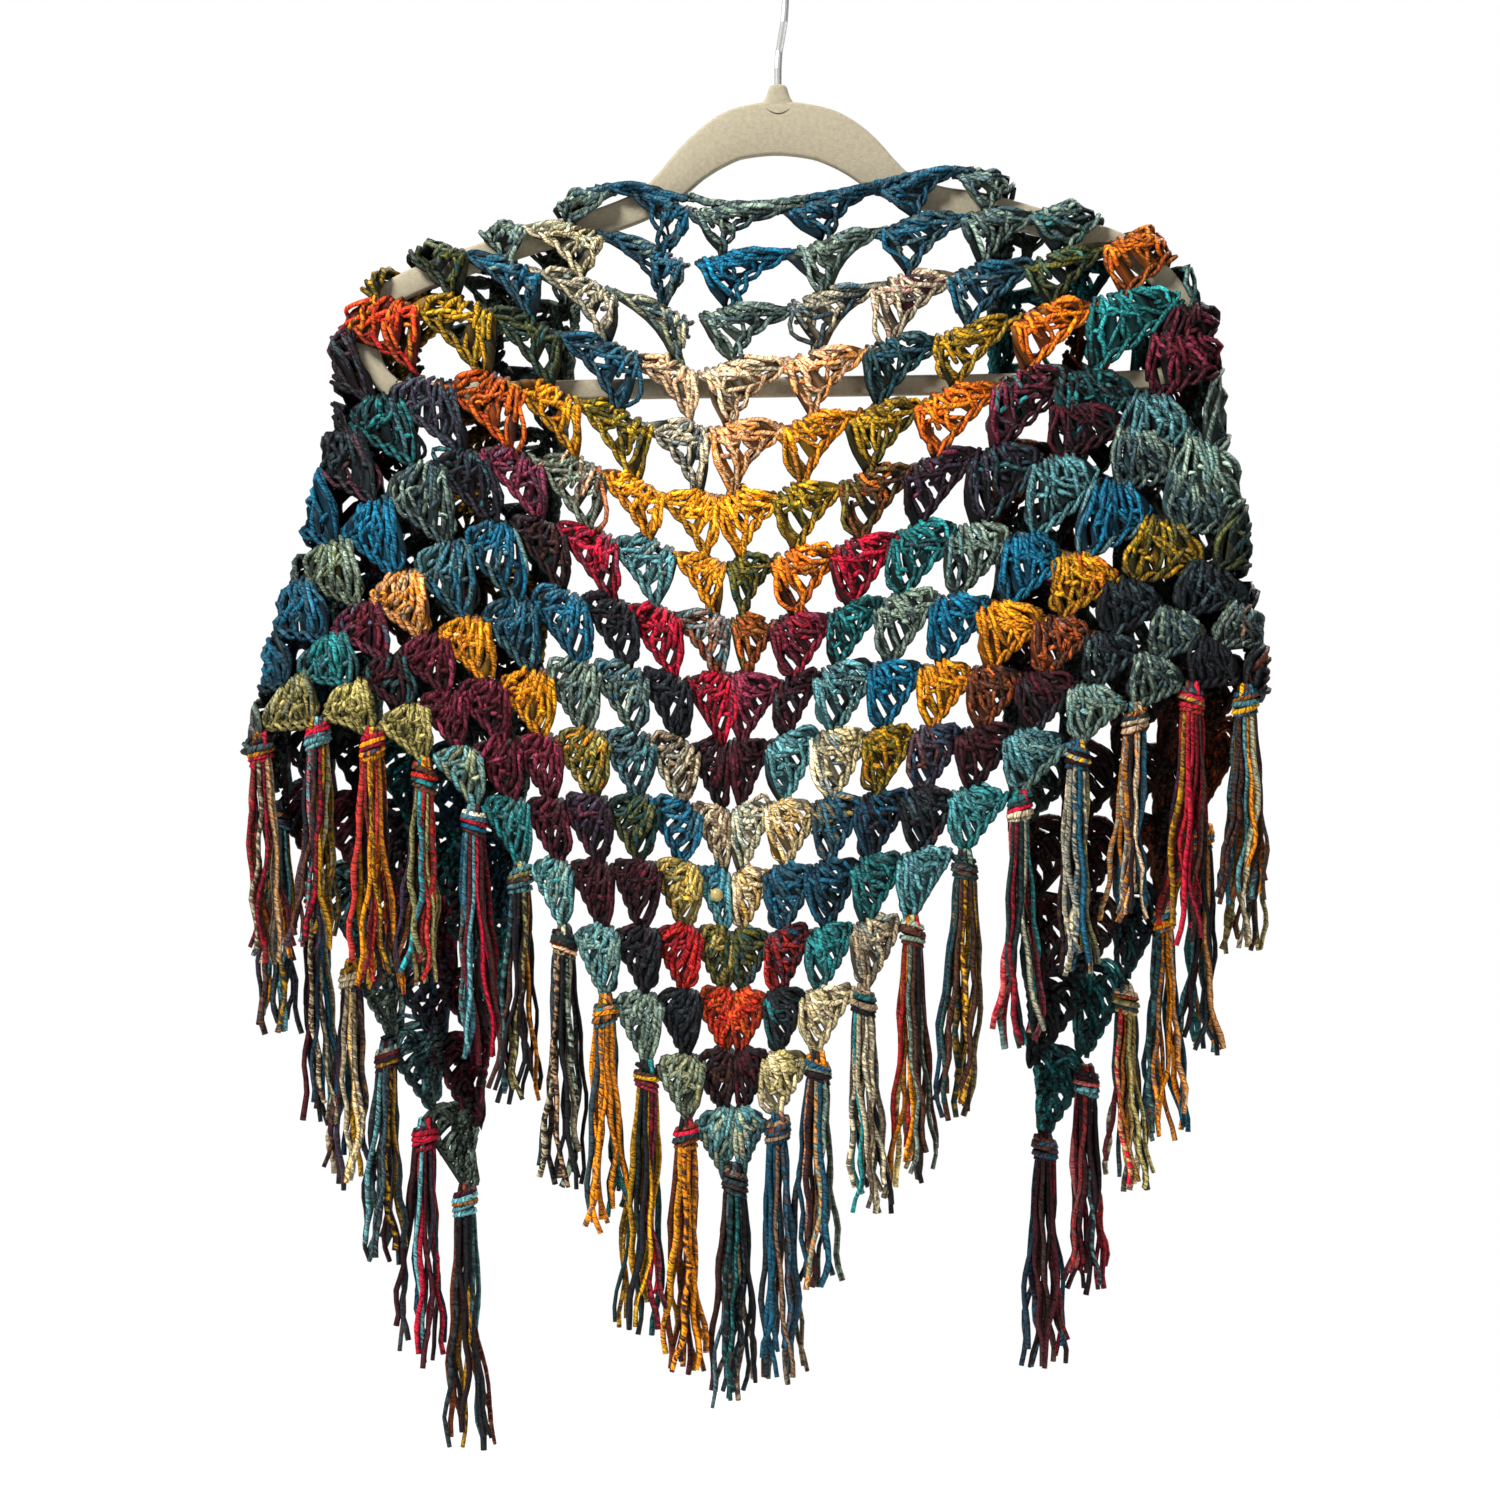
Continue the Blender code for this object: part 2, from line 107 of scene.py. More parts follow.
class Half:
    """One half of the shawl: lattice places in, points in space out, many at a time."""

    def __init__(self, side, table, corner, bow):
        self.side, self.bow = side, bow
        self.corner = np.array(corner)
        table = np.array(table)
        self.rows, self.table = table[:, 0], table[:, 1:]
        self.slopes = np.gradient(self.table, self.rows, axis=0)
        low, high = 0.0, float(ROWS)
        for _ in range(40):
            row = (low + high) / 2
            low, high = (row, high) if row < self.section(row)[0] else (low, row)
        self.crossing = high
        self.start = self.section(self.crossing)[7:9]

    def section(self, row):
        """The table's columns at any row, on a smooth curve through its rows."""
        row = np.asarray(row, float)
        k = np.clip(np.searchsorted(self.rows, row, side="right") - 1, 0, len(self.rows) - 2)
        span = (self.rows[k + 1] - self.rows[k])[..., None]
        t = (row - self.rows[k])[..., None] / span
        return (
            (1 + 2 * t) * (1 - t) ** 2 * self.table[k]
            + t * (1 - t) ** 2 * span * self.slopes[k]
            + t * t * (3 - 2 * t) * self.table[k + 1]
            - t * t * (1 - t) * span * self.slopes[k + 1])

    def beyond(self, i, j):
        """How far a place lies past the turn, in clusters. It is negative in front."""
        return i - j - (2 * self.section(i + j)[..., 0] - (i + j))

    def edge(self, row):
        """The wing's far edge behind, from the arm to the low corner."""
        way = (row - self.crossing) / (ROWS - self.crossing)
        point = self.start + (self.corner - self.start) * way[..., None]
        point[..., 0] += self.bow * np.sin(math.pi * way)
        return point

    def place(self, i, j):
        """The middle of the cloth at lattice places, in metres."""
        i, j = np.broadcast_arrays(np.asarray(i, float), np.asarray(j, float))
        row = i + j
        line = self.section(row)
        fold_at, fold = line[..., 0], line[..., 7:9]
        past = i - j - (2 * fold_at - row)
        t = (1 + past / (2 * fold_at))[..., None]
        front = (
            -4.5 * (t - 1 / 3) * (t - 2 / 3) * (t - 1) * line[..., 1:3]
            + 13.5 * t * (t - 2 / 3) * (t - 1) * line[..., 3:5]
            - 13.5 * t * (t - 1 / 3) * (t - 1) * line[..., 5:7]
            + 4.5 * t * (t - 1 / 3) * (t - 2 / 3) * fold)
        full = np.maximum(row, self.crossing + WING_SET_AFTER)
        across = self.section(full)
        reach = (full - across[..., 0])
        rate = (self.edge(full) - across[..., 7:9]) / reach[..., None]
        wing = fold + rate * past[..., None] / 2
        behind = past > 0
        flat = np.where(behind[..., None], wing, front)
        waves = np.where(behind, WING_WAVES * past / 2 / reach, FRONT_WAVES * t[..., 0])
        opened = np.clip((row - TURN_OPENS_AT) / (ROWS - TURN_OPENS_AT), 0, OPENED_MOST)
        radius = TURN_RADIUS + (HEM_TURN_RADIUS - TURN_RADIUS) * opened
        away = np.hypot(*np.moveaxis(flat - fold, -1, 0))
        bend = radius * np.sqrt(1 - (1 - np.minimum(away / radius, 1.0)) ** 2)
        settle = SETTLE * (1 - np.exp(-away / SETTLE_REACH))
        wave = WAVE * (row / ROWS) ** 2 * (1 - np.cos(2 * math.pi * waves)) / 2
        depth = np.where(behind, 1, -1) * (bend + settle + wave)
        x, z = np.moveaxis(flat, -1, 0)
        for at_x, at_z, rise in PERKS:
            z = z + rise * np.exp(-((x - at_x) / PERK_WIDE) ** 2 - ((z - at_z) / PERK_TALL) ** 2)
        return np.stack([x, depth, z], -1) * MM

    def outward(self, i, j, step=0.03):
        """The way out of the cloth's outer face."""
        along = self.place(i + step, j) - self.place(i - step, j)
        down = self.place(i, j + step) - self.place(i, j - step)
        return unit(np.cross(along, down) * -self.side)

    def lay(self, i, j, height):
        """Points a height in millimetres out of the cloth, and the way out there."""
        out = self.outward(i, j)
        return self.place(i, j) + out * np.asarray(height)[..., None] * MM, out


HALVES = {
    "right": Half(1, RIGHT, (142.8, -625.5), -7.0),
    "left": Half(-1, LEFT, (-167.1, -653.5), 5.0),
}
print("the long edge crosses the arms at rows",
      {name: round(half.crossing, 2) for name, half in HALVES.items()})

# %% [markdown]
# ## Yarn
# Hand-dyed yarn of two plies is never one colour: each ply carries its own shade, and the twist
# brings them up in turn as short slanted dashes. A tube swept along a path gives the strand,
# and three attributes on its points tell the material how far round and how far along it is
# and which two shades its plies have.

# %% A basket of strands
SIDES = 5
TWIST_PITCH = 6.6 * MM
SLUB, THINNEST, THICKEST = 0.07, -0.15, 0.18
NO_FACES = np.zeros((0, 3), int)


def circle(count):
    """Even angles round a full turn."""
    return 2 * math.pi * np.arange(count) / count


def ring_quads(rings, sides, closed=False):
    """Quads between neighbours in a row of rings, which may close on itself."""
    k = np.arange(rings if closed else rings - 1)[:, None] * sides
    n = (k + sides) % (rings * sides)
    s = np.arange(sides)
    e = (s + 1) % sides
    return np.stack([k + s, k + e, n + e, n + s], -1).reshape(-1, 4)


class Basket:
    """Collects strands as tubes and joins them into one mesh."""

    def __init__(self):
        self.points, self.twist, self.shades, self.faces = [], [], [], []
        self.count = 0

    def add(self, path, out, radius, shade_a, shade_b, painted_shading=1.0):
        """path and out are (strands, points, 3); shades are (strands, 3)."""
        strands, length = path.shape[:2]
        along = unit(np.gradient(path, axis=1))
        side = unit(np.cross(along, out))
        over = np.cross(side, along)
        angle = circle(SIDES)
        ring = (side[:, :, None] * np.cos(angle)[:, None]
                + over[:, :, None] * np.sin(angle)[:, None])
        radius = np.broadcast_to(np.asarray(radius, float), (strands, length)) * MM
        slub = rng.normal(0, SLUB, (strands, length))
        radius = radius * (1 + np.clip(slub, THINNEST, THICKEST))
        points = path[:, :, None] + ring * radius[:, :, None, None]
        gone = np.cumsum(np.linalg.norm(np.diff(path, axis=1), axis=-1), axis=1)
        gone = np.concatenate([np.zeros((strands, 1)), gone], 1) / TWIST_PITCH
        gone += rng.uniform(0, 60, (strands, 1))
        twist = np.zeros((strands, length, SIDES, 3))
        twist[..., 0] = np.cos(angle)
        # How far round the strand, away from its sides; the material paints shade on the sides
        # from it.
        twist[..., 1] = np.abs(np.sin(angle))
        twist[..., 2] = gone[:, :, None]
        shades = np.concatenate([shade_a, shade_b], -1)[:, None, None]
        # Painted light and shade: each point's colour is scaled by its painted shading.
        shades = shades * np.broadcast_to(painted_shading, (strands, length))[:, :, None, None]
        shades = np.broadcast_to(shades, (strands, length, SIDES, 6))
        low = self.count + np.arange(strands) * length * SIDES
        high = low + (length - 1) * SIDES
        sides = low[:, None, None] + ring_quads(length, SIDES)
        ends = []
        for m in range(1, SIDES - 1):
            ends.append(np.stack([low, low + m + 1, low + m], -1))
            ends.append(np.stack([high, high + m, high + m + 1], -1))
        self.points.append(points.reshape(-1, 3))
        self.twist.append(twist.reshape(-1, 3))
        self.shades.append(shades.reshape(-1, 6))
        self.faces.append((sides.reshape(-1, 4), np.concatenate(ends)))
        self.count += strands * length * SIDES

    def join(self, name):
        points = np.concatenate(self.points)
        quads, ends = (np.concatenate(part) for part in zip(*self.faces))
        mesh = mesh_from_arrays(name, points, quads, ends)
        paint_yarn(mesh, np.concatenate(self.twist), np.concatenate(self.shades))
        print(f"{name}: {2 * len(quads) + len(ends)} triangles")
        return add_piece(name, mesh, yarn)


def paint_yarn(mesh, twist, shades):
    """Writes the attributes that the yarn's material reads."""
    layer = mesh.attributes.new("twist", "FLOAT_VECTOR", "POINT")
    layer.data.foreach_set("vector", twist.astype(np.float32).ravel())
    for title, part in (("ply_a", shades[:, :3]), ("ply_b", shades[:, 3:])):
        colour = np.concatenate([part, np.ones((len(part), 1))], 1).astype(np.float32)
        layer = mesh.attributes.new(title, "FLOAT_COLOR", "POINT")
        layer.data.foreach_set("color", colour.ravel())


def mesh_from_arrays(name, points, quads=NO_FACES, triangles=NO_FACES):
    """A smooth-shaded mesh from numpy arrays."""
    mesh = bpy.data.meshes.new(name)
    mesh.from_pydata(points, [], [*quads.tolist(), *triangles.tolist()])
    mesh.validate()
    mesh.shade_smooth()
    return mesh


def put(name, data):
    """Links a new object into the scene."""
    thing = bpy.data.objects.new(name, data)
    bpy.context.scene.collection.objects.link(thing)
    return thing


def add_piece(name, mesh, material):
    piece = put(name, mesh)
    mesh.materials.append(material)
    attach(piece, "root")
    return piece


# %% Node helpers
def new_material(name):
    material = bpy.data.materials.new(name)
    material.use_nodes = True
    return material, material.node_tree, material.node_tree.nodes["Principled BSDF"]


def feed(tree, made, values):
    """Sets a node's inputs, by name or number, to values or to the outputs of other nodes."""
    for key, value in dict(values).items():
        if isinstance(value, bpy.types.NodeSocket):
            tree.links.new(value, made.inputs[key])
        else:
            made.inputs[key].default_value = value
    return made


def node(tree, kind, values=(), **settings):
    made = tree.nodes.new("ShaderNode" + kind)
    for key, value in settings.items():
        setattr(made, key, value)
    return feed(tree, made, values)


def sums(tree, operation, *values, kind="Math"):
    """The result of a maths node."""
    return node(tree, kind, dict(enumerate(values)), operation=operation).outputs[0]


def remap(tree, value, span, onto=(0, 1)):
    """Maps one span of a value onto another and stops at its ends."""
    return node(tree, "MapRange", {
        "Value": value, "From Min": span[0], "From Max": span[1], "To Min": onto[0],
        "To Max": onto[1]}).outputs[0]


def noise(tree, place, scale, detail, rough=0.5):
    return node(tree, "TexNoise", {"Vector": place, "Scale": scale, "Detail": detail,
                                   "Roughness": rough}).outputs["Fac"]


def cloud(tree, *fineness):
    """Noise in the object's own space."""
    return noise(tree, node(tree, "TexCoord").outputs["Object"], *fineness)


def bump(tree, height, distance, strength, **under):
    return node(tree, "Bump", {"Height": height, "Distance": distance, "Strength": strength,
                               **under}).outputs[0]


def mottle(tree, amount, dark, light):
    """A colour between two tones."""
    return node(tree, "Mix", {0: amount, 6: (*dark, 1), 7: (*light, 1)},
                data_type="RGBA").outputs[2]


# %% Yarn material
FLECK_PULL = 3.0
UNEVEN_TWIST = 2.2


def yarn_material(name):
    material, tree, shader = new_material(name)
    twist = node(tree, "Attribute", attribute_name="twist").outputs["Vector"]
    ply_a = node(tree, "Attribute", attribute_name="ply_a").outputs["Color"]
    ply_b = node(tree, "Attribute", attribute_name="ply_b").outputs["Color"]
    x, y, along = node(tree, "SeparateXYZ", {0: twist}).outputs
    uneven = node(tree, "TexNoise", {"W": along, "Scale": 0.7, "Detail": 2.0},
                  noise_dimensions="1D").outputs["Fac"]

    def times(one, other):
        return sums(tree, "MULTIPLY", one, other)

    turn = times(2 * math.pi, sums(tree, "MULTIPLY_ADD", uneven, UNEVEN_TWIST, along))
    cosine, sine = sums(tree, "COSINE", turn), sums(tree, "SINE", turn)
    facing = sums(tree, "ADD", times(x, cosine), times(y, sine))
    beside = sums(tree, "SUBTRACT", times(y, cosine), times(x, sine))
    helix = node(tree, "CombineXYZ", {0: facing, 1: beside, 2: along}).outputs[0]

    def streaks(stretch, *fineness):
        place = sums(tree, "MULTIPLY", helix, stretch, kind="VectorMath")
        return noise(tree, place, 1.0, *fineness)

    flecks = sums(tree, "MULTIPLY_ADD", streaks((0.9, 0.9, 2.4), 3.0), 2 * FLECK_PULL, -FLECK_PULL)
    which = remap(tree, sums(tree, "ADD", facing, flecks), (-0.35, 0.35))
    shade = node(tree, "Mix", {0: which, 6: ply_a, 7: ply_b}, data_type="RGBA").outputs[2]
    fibres = streaks((1.5, 1.5, 3.4), 5.0, 0.65)
    light = remap(tree, fibres, (0.36, 0.62), (0.30, 1.75))
    # Painted shade: the colour darkens to 0.28 in the groove between the plies, and the same
    # groove is the bump's height.
    ply_groove_height_and_shade = remap(tree, sums(tree, "ABSOLUTE", facing), (0.0, 0.45), (0.28, 1.0))
    # Painted shade: the strand's sides, where it lies against its neighbours, darken to 0.14 of
    # its colour, and its faces lighten a little.
    under = remap(tree, y, (0.05, 0.9), (0.14, 1.1))
    # The colour is scaled by the fibre mottling and by these two painted shades.
    depth = times(times(light, ply_groove_height_and_shade), under)
    tinted = node(tree, "VectorMath", {0: shade, "Scale": depth}, operation="SCALE")
    plies = bump(tree, ply_groove_height_and_shade, 0.0011, 0.8)
    feed(tree, shader, {
        "Base Color": tinted.outputs[0], "Normal": bump(tree, fibres, 0.0012, 0.7, Normal=plies),
        "Roughness": 0.52, "Specular IOR Level": 0.2})
    return material


yarn = yarn_material("plied_yarn")

# %% [markdown]
# ## The dye chart
# The skein changes colour slowly, so a colour stays for a few clusters along a V-row and then
# gives way to the next. Each row below is read outward from the spine, once for each half, as
# shades and the number of clusters that they last. The last shade lasts to the end of the row.
# The rows were written with a name for each shade.

# %% Shades of the skein
SHADES = {
    "teal": (0.020, 0.25, 0.25), "aqua": (0.12, 0.34, 0.36), "sky": (0.005, 0.17, 0.30),
    "blue": (0.008, 0.10, 0.17), "slate": (0.045, 0.083, 0.095), "ink": (0.008, 0.009, 0.012),
    "plum": (0.019, 0.004, 0.007), "wine": (0.080, 0.005, 0.011), "rose": (0.28, 0.032, 0.07),
    "cerise": (0.58, 0.007, 0.034), "red": (0.62, 0.022, 0.012), "ember": (0.80, 0.14, 0.007),
    "rust": (0.32, 0.07, 0.014), "orange": (1.0, 0.31, 0.006), "gold": (0.75, 0.37, 0.008),
    "straw": (0.55, 0.45, 0.15), "cream": (0.84, 0.69, 0.43), "tan": (0.32, 0.22, 0.13),
    "sage": (0.27, 0.36, 0.26), "moss": (0.115, 0.105, 0.012), "pine": (0.010, 0.052, 0.050),
    "brown": (0.10, 0.034, 0.016), "peach": (1.0, 0.54, 0.27), "mauve": (0.045, 0.028, 0.052),
    "coal": (0.022, 0.030, 0.036), "sun": (1.0, 0.43, 0.018),
}
FLECKS = {
    "teal": "pine", "aqua": "slate", "sky": "blue", "blue": "slate", "slate": "sage",
    "ink": "coal", "plum": "wine", "wine": "rose", "cerise": "wine", "red": "ember",
    "ember": "orange", "orange": "gold", "gold": "moss", "straw": "moss", "tan": "cream",
    "sage": "slate", "moss": "gold", "pine": "teal", "brown": "rust", "peach": "orange",
    "mauve": "blue", "sun": "orange",
}
CHART = {
    "right": [
        "slate", "sky blue", "slate sage blue", "cream+peach slate+cream blue slate",
        "peach*2 cream+rose slate*2", "sun orange pine+slate blue slate teal",
        "moss+pine moss*2 gold moss+pine teal*2", "rust+moss ember brown+moss ember*3 brown*2",
        "rose+wine wine cerise plum+mauve plum+rose teal*2 slate*2",
        "plum*2 ink+teal teal ink+mauve ink+teal plum wine*3",
        "cream+sage aqua*2 sage*2 aqua*2 slate*4",
        "cream+gold*2 cream+straw sky*4 sage+aqua slate*4",
        "moss+pine blue*2 moss orange*2 gold+ember moss pine+moss ink+slate plum+brown*3",
        "red plum+red blue+ink ink+blue mauve brown brown+ember ink+slate*3 brown "
        "brown+plum wine+plum*2",
        "plum ink teal+slate*2 ink+slate plum*2 ink+slate slate*2 brown*2 plum+ember "
        "brown+ink ink*2",
        "aqua straw+cream cream+straw tan aqua teal+aqua aqua sage+aqua slate ink*2 "
        "rust+ember brown ink teal+slate*2",
    ],
    "left": [
        "blue", "blue slate", "slate cream+moss sage", "peach+cream cream+slate slate sage",
        "cream+slate blue*2 sage slate", "sun moss pine+moss moss+pine slate*2",
        "sun*2 orange gold moss gold pine", "rust+aqua aqua sage+brown ember+rust red moss*3",
        "cerise*3 rose+mauve mauve+slate plum+slate plum*3",
        "plum ink*2 plum+brown ink+mauve ink+teal ink+mauve slate*3",
        "tan*2 slate sky+slate blue+sky slate ink+slate wine*2 slate*2",
        "aqua+sky sky+slate slate+aqua sage blue slate+aqua sky*2 blue*4",
        "moss+pine straw+gold pine+moss moss+straw orange*2 orange+peach sage+moss slate*2 teal*3",
        "red red+cerise plum mauve+plum wine*4 blue*2 ink*2 wine*2",
        "plum+brown ink*2 plum*2 wine*2 plum teal+slate blue ink wine*2 mauve wine",
        "aqua+sage sage+straw sage aqua+sage*2 teal aqua+sage straw*3 slate wine aqua sage "
        "aqua sage",
    ],
}
DYE_DRIFT, BRIGHTNESS = (-1.2, 0.75), (0.05, 0.28)
FLECK_SHARE, PLY_LEAN = (-0.15, 1.0), (-0.5, 0.7)


def dyes(side, row):
    """The shade of each cluster of a V-row, from the spine outward, and of the next one."""
    names = []
    for run in CHART[side][row].split():
        shade, _, lasts = run.partition("*")
        names += [shade] * int(lasts or 1)
    return (names + [names[-1]] * ROWS)[:row + 2]


def shade_pair(name):
    """The colours of a shade such as moss, or of one with its own fleck such as moss+gold."""
    shade, _, fleck = name.partition("+")
    return [*SHADES[shade], *SHADES[fleck or FLECKS[shade]]]


def strand_shades(names, nexts, count):
    """Shades for both plies of count strands in each of the named clusters."""
    pairs, after = (np.repeat([shade_pair(name) for name in some], count, 0)
                    for some in (names, nexts))
    each = (len(pairs), 1)
    drift = rng.uniform(*DYE_DRIFT, each).clip(0, 1)
    pairs = pairs * (1 - drift) + after * drift
    base, fleck = pairs[:, :3], pairs[:, 3:]
    bright = np.exp(rng.normal(*BRIGHTNESS, each))
    share = rng.uniform(*FLECK_SHARE, each).clip(0, 1)
    lean = rng.uniform(*PLY_LEAN, each).clip(0, 1)
    ply_a = base * (1 - lean) + fleck * lean
    return ply_a * bright, (base * (1 - share) + fleck * share) * bright


print("clusters charted:", 2 * sum(row + 1 for row in range(ROWS)))

# %% [markdown]
# ## One cluster
# A cluster is a bunch of tall stitches drawn through one joint of the row before. Its posts
# start side by side, curl over the joint and fan out to a chain on the long side of the
# triangle. Each post is a pair of strands that wind round each other, with a slanted bar where
# the yarn was laid over the hook. Between the posts the light comes through.

# %% Stitches of a cluster
# Places, ways and reaches are in clusters, turns are per strand, heights and radii are in mm.
YARN_RADIUS = 1.45
THICK_YARN = {4: 1.0, 5: 0.98, 6: 1.02}
POST_WAYS = np.array([-0.12, -0.07, 0.02, 0.15, 0.30, 0.45, 0.60, 0.76, 0.90, 0.99])
POST_HEIGHTS = np.array([-3.6, 0.0, 2.4, 3.4, 3.5, 3.0, 2.3, 1.7, 0.8, -1.4])
HAIR_HEIGHTS = np.array([-3.4, 2.6, 4.4, 5.2, 5.2, 4.6, 3.0, -0.5])
BASE_IN, BASE_OUT = (0.36, -0.13), (-0.17, 0.09)
CHAIN_TOP, CHAIN_FOOT = (0.93, 0.07), (0.25, 0.95)
WIDE_ROWS = 8
WIDE_BOW = 0.19
PLUMP = 0.07
SPREAD, WING_SPREAD = 1.18, 1.45
CLUSTER_STRAY, POST_SCATTER, POST_STRAY = 0.036, 0.16, 0.055
PAIR_APART, POST_KINK = 0.047, 0.022
CHAIN_TURNS, CHAIN_WIDE = 2.3, 0.042
CORD_TURNS, CORD_WIDE, CORD_SAG = 1.6, 0.045, 0.07
BAR_REACH, BAR_SLANT = (0.09, 0.12), (0.2, 1.1)
SLIP_START, SLIP_ACROSS = (0.1, 0.5), (0.22, 0.38)
HAIRS, HAIR_REACH = 5, (0.42, 0.70)
LOOP_SIDE, LOOP_REACH, LOOP_START = 0.34, (0.12, 0.27), (0.22, 0.50)
FEW_POSTS = 4
POSTS_BY_ROW = {4: range(0, WIDE_ROWS), 5: range(WIDE_ROWS, 12), 6: range(12, ROWS)}
# Painted shade: rows 8 to 13 darken to 0.78, and a strand's colour goes from 0.12 where it lies
# deepest in the cluster to 1.28, a painted highlight, where it lies highest.
DIM_ROWS, ROW_PAINTED_SHADE = (8, 13), (1.0, 0.78)
SHADOW_HEIGHTS, SHADOWS = (-2.5, 0.5, 3.0, 5.0), (0.12, 0.38, 1.0, 1.28)


class Clusters:
    """Clusters of one half that have the same number of posts, each a little different."""

    def __init__(self, cells, count, spread=SPREAD):
        self.i, self.j, self.tall = np.array(cells, float).T[:, :, None, None]
        self.n, self.count, self.few = len(cells), count, count <= FEW_POSTS
        self.spread = SPREAD if self.few else spread
        self.middles = 0.5 + ((np.arange(count) + 0.5) / count - 0.5) * self.spread
        self.jitter = rng.normal(0, CLUSTER_STRAY, (5, self.n, 1, 1))

    def fan(self, f, way):
        """Lattice places on the fan: f across it, way down the posts."""
        i, j, shift = self.i, self.j, self.jitter
        outer = np.where(i < 0.5, 0.02, BASE_OUT[0])
        start_u = BASE_IN[0] + (outer - BASE_IN[0]) * f + shift[0]
        start_v = BASE_IN[1] + (BASE_OUT[1] - BASE_IN[1]) * f + np.where(j < 0.5, 0.13, 0)
        bow = -0.01 - WIDE_BOW * np.clip(1 - (i + j) / WIDE_ROWS, 0, 1) * np.sin(math.pi * f)
        top_u, top_v = CHAIN_TOP[0] + shift[1], CHAIN_TOP[1] + shift[2]
        foot_u, foot_v = CHAIN_FOOT[0] + shift[3], CHAIN_FOOT[1] + 0.5 * shift[4]
        end_u = top_u + (foot_u - top_u) * f + bow
        end_v = top_v + (foot_v - top_v) * f + bow
        plump = np.clip((i + j - WIDE_ROWS + 2) / 3, 0, 1)
        swell = (f - 0.5) * np.sin(math.pi * np.clip(way, 0, 1)) ** 2
        u = i + start_u + (end_u - start_u) * way - (0.06 + PLUMP * plump) * swell
        v = j + self.tall * (start_v + (end_v - start_v) * way
                             + (0.04 + 0.8 * PLUMP * plump) * swell)
        return u, v


def posts(bunch):
    """Pairs of strands along the posts, as arrays (clusters, strands, points)."""
    n, count = bunch.n, bunch.count
    each = (n, 2 * count, 1)
    f = bunch.middles + rng.normal(0, POST_SCATTER / count, (n, count))
    f = np.repeat(f, 2, 1)[:, :, None]
    bulge = rng.normal(0, POST_STRAY, each) * np.sin(math.pi * POST_WAYS)
    f = f + bulge + rng.normal(0, 0.7 * POST_STRAY, each) * POST_WAYS
    u, v = bunch.fan(f, POST_WAYS)
    wind = 2 * math.pi * (POST_WAYS * rng.uniform(0.7, 1.5, (n, count, 1))
                          + rng.uniform(0, 1, (n, count, 1)))
    wind = np.repeat(wind, 2, 1)
    wind[:, 1::2] += math.pi
    apart = PAIR_APART * np.cos(wind) * np.clip(1.25 - POST_WAYS, 0.5, 1)
    apart = apart + POST_KINK * np.sin(5 * POST_WAYS + rng.uniform(0, 6, each))
    height = POST_HEIGHTS + rng.normal(0, 0.6, each) + 1.1 * np.sin(wind)
    return u + apart * 0.8, v - apart * 0.7, height


def two_twisted(bunch, way, turns):
    """How far round each of two twisted strands is along its way."""
    start = rng.uniform(0, 6, (bunch.n, 1, 1))
    return 2 * math.pi * (turns * way + np.arange(2)[:, None] / 2) + start


def chain(bunch):
    """Two strands twisted along the long side of each cluster."""
    way = np.linspace(-0.08, 1.0, 16)
    foot = np.clip((way - 0.86) / 0.14, 0, 1)
    sag = rng.uniform(-0.02, 0.025, (bunch.n, 1, 1)) * np.sin(math.pi * np.clip(way, 0, 1))
    u, v = bunch.fan(way, 1.0)
    phase = two_twisted(bunch, way, CHAIN_TURNS)
    across = CHAIN_WIDE * np.sin(phase) + sag
    height = 1.4 + 1.1 * np.cos(phase) - 22 * np.maximum(-way, 0) - 2.6 * foot ** 2
    return u + across * (1 - foot), v + across + 0.10 * foot, height


def top_cord(bunch):
    """Two strands laid along the top of each cluster, from its joint to the next one."""
    way = np.linspace(0, 1, 10)
    phase = two_twisted(bunch, way, CORD_TURNS)
    u, v = bunch.fan(1 - way, 0.04 + 0.96 * way)
    across = CORD_WIDE * np.sin(phase) - CORD_SAG * np.sin(math.pi * way)
    height = 1.2 + 2.8 * np.sin(math.pi * np.minimum(way + 0.12, 1)) + np.cos(phase)
    return u + 0.3 * across, v + across, height


def bars(bunch):
    """Slanted bars over the posts."""
    each = (bunch.n, bunch.count, 1)
    way = np.linspace(-1, 1, 6)
    f = 0.5 + 0.72 * (bunch.middles[:, None] - 0.5) + rng.normal(0, 0.03, each)
    deep = rng.uniform(0.28, 0.46 if bunch.few else 0.66, each)
    u, v = bunch.fan(f, deep)
    slant = rng.uniform(*BAR_SLANT, each)
    reach = rng.uniform(*BAR_REACH, each) * (0.75 if bunch.few else 1.0)
    u = u + reach * way * (0.75 + 0.5 * slant * f)
    v = v + reach * way * (slant - 0.75)
    return u, v, 5.2 - 6.8 * way ** 2 + rng.normal(0, 0.4, each) - 1.9 * deep


def slips(bunch):
    """Loose strands that cross from one post to the next near the chain."""
    each = (bunch.n, max(1, bunch.count - FEW_POSTS), 1)
    way = np.linspace(0, 1, 6)
    f = rng.uniform(*SLIP_START, each)
    across = rng.uniform(*SLIP_ACROSS, each)
    back = rng.integers(0, 2, each)
    u, v = bunch.fan(f + across * np.where(back, 1 - way, way), 0.42 + 0.50 * way)
    return u, v, -1.6 + 4.6 * np.sin(math.pi * way) ** 0.7 + rng.normal(0, 0.5, each)


def hair(bunch):
    """Strands that wrap over the joint and dive into the cluster."""
    each = (bunch.n, HAIRS, 1)
    way = np.linspace(-0.13, 1, 8) * rng.uniform(*HAIR_REACH, each)
    f = np.linspace(0.06, 0.94, HAIRS)[:, None] + rng.normal(0, 0.05, each)
    u, v = bunch.fan(f, way)
    return u, v, HAIR_HEIGHTS + rng.normal(0, 0.3, each)


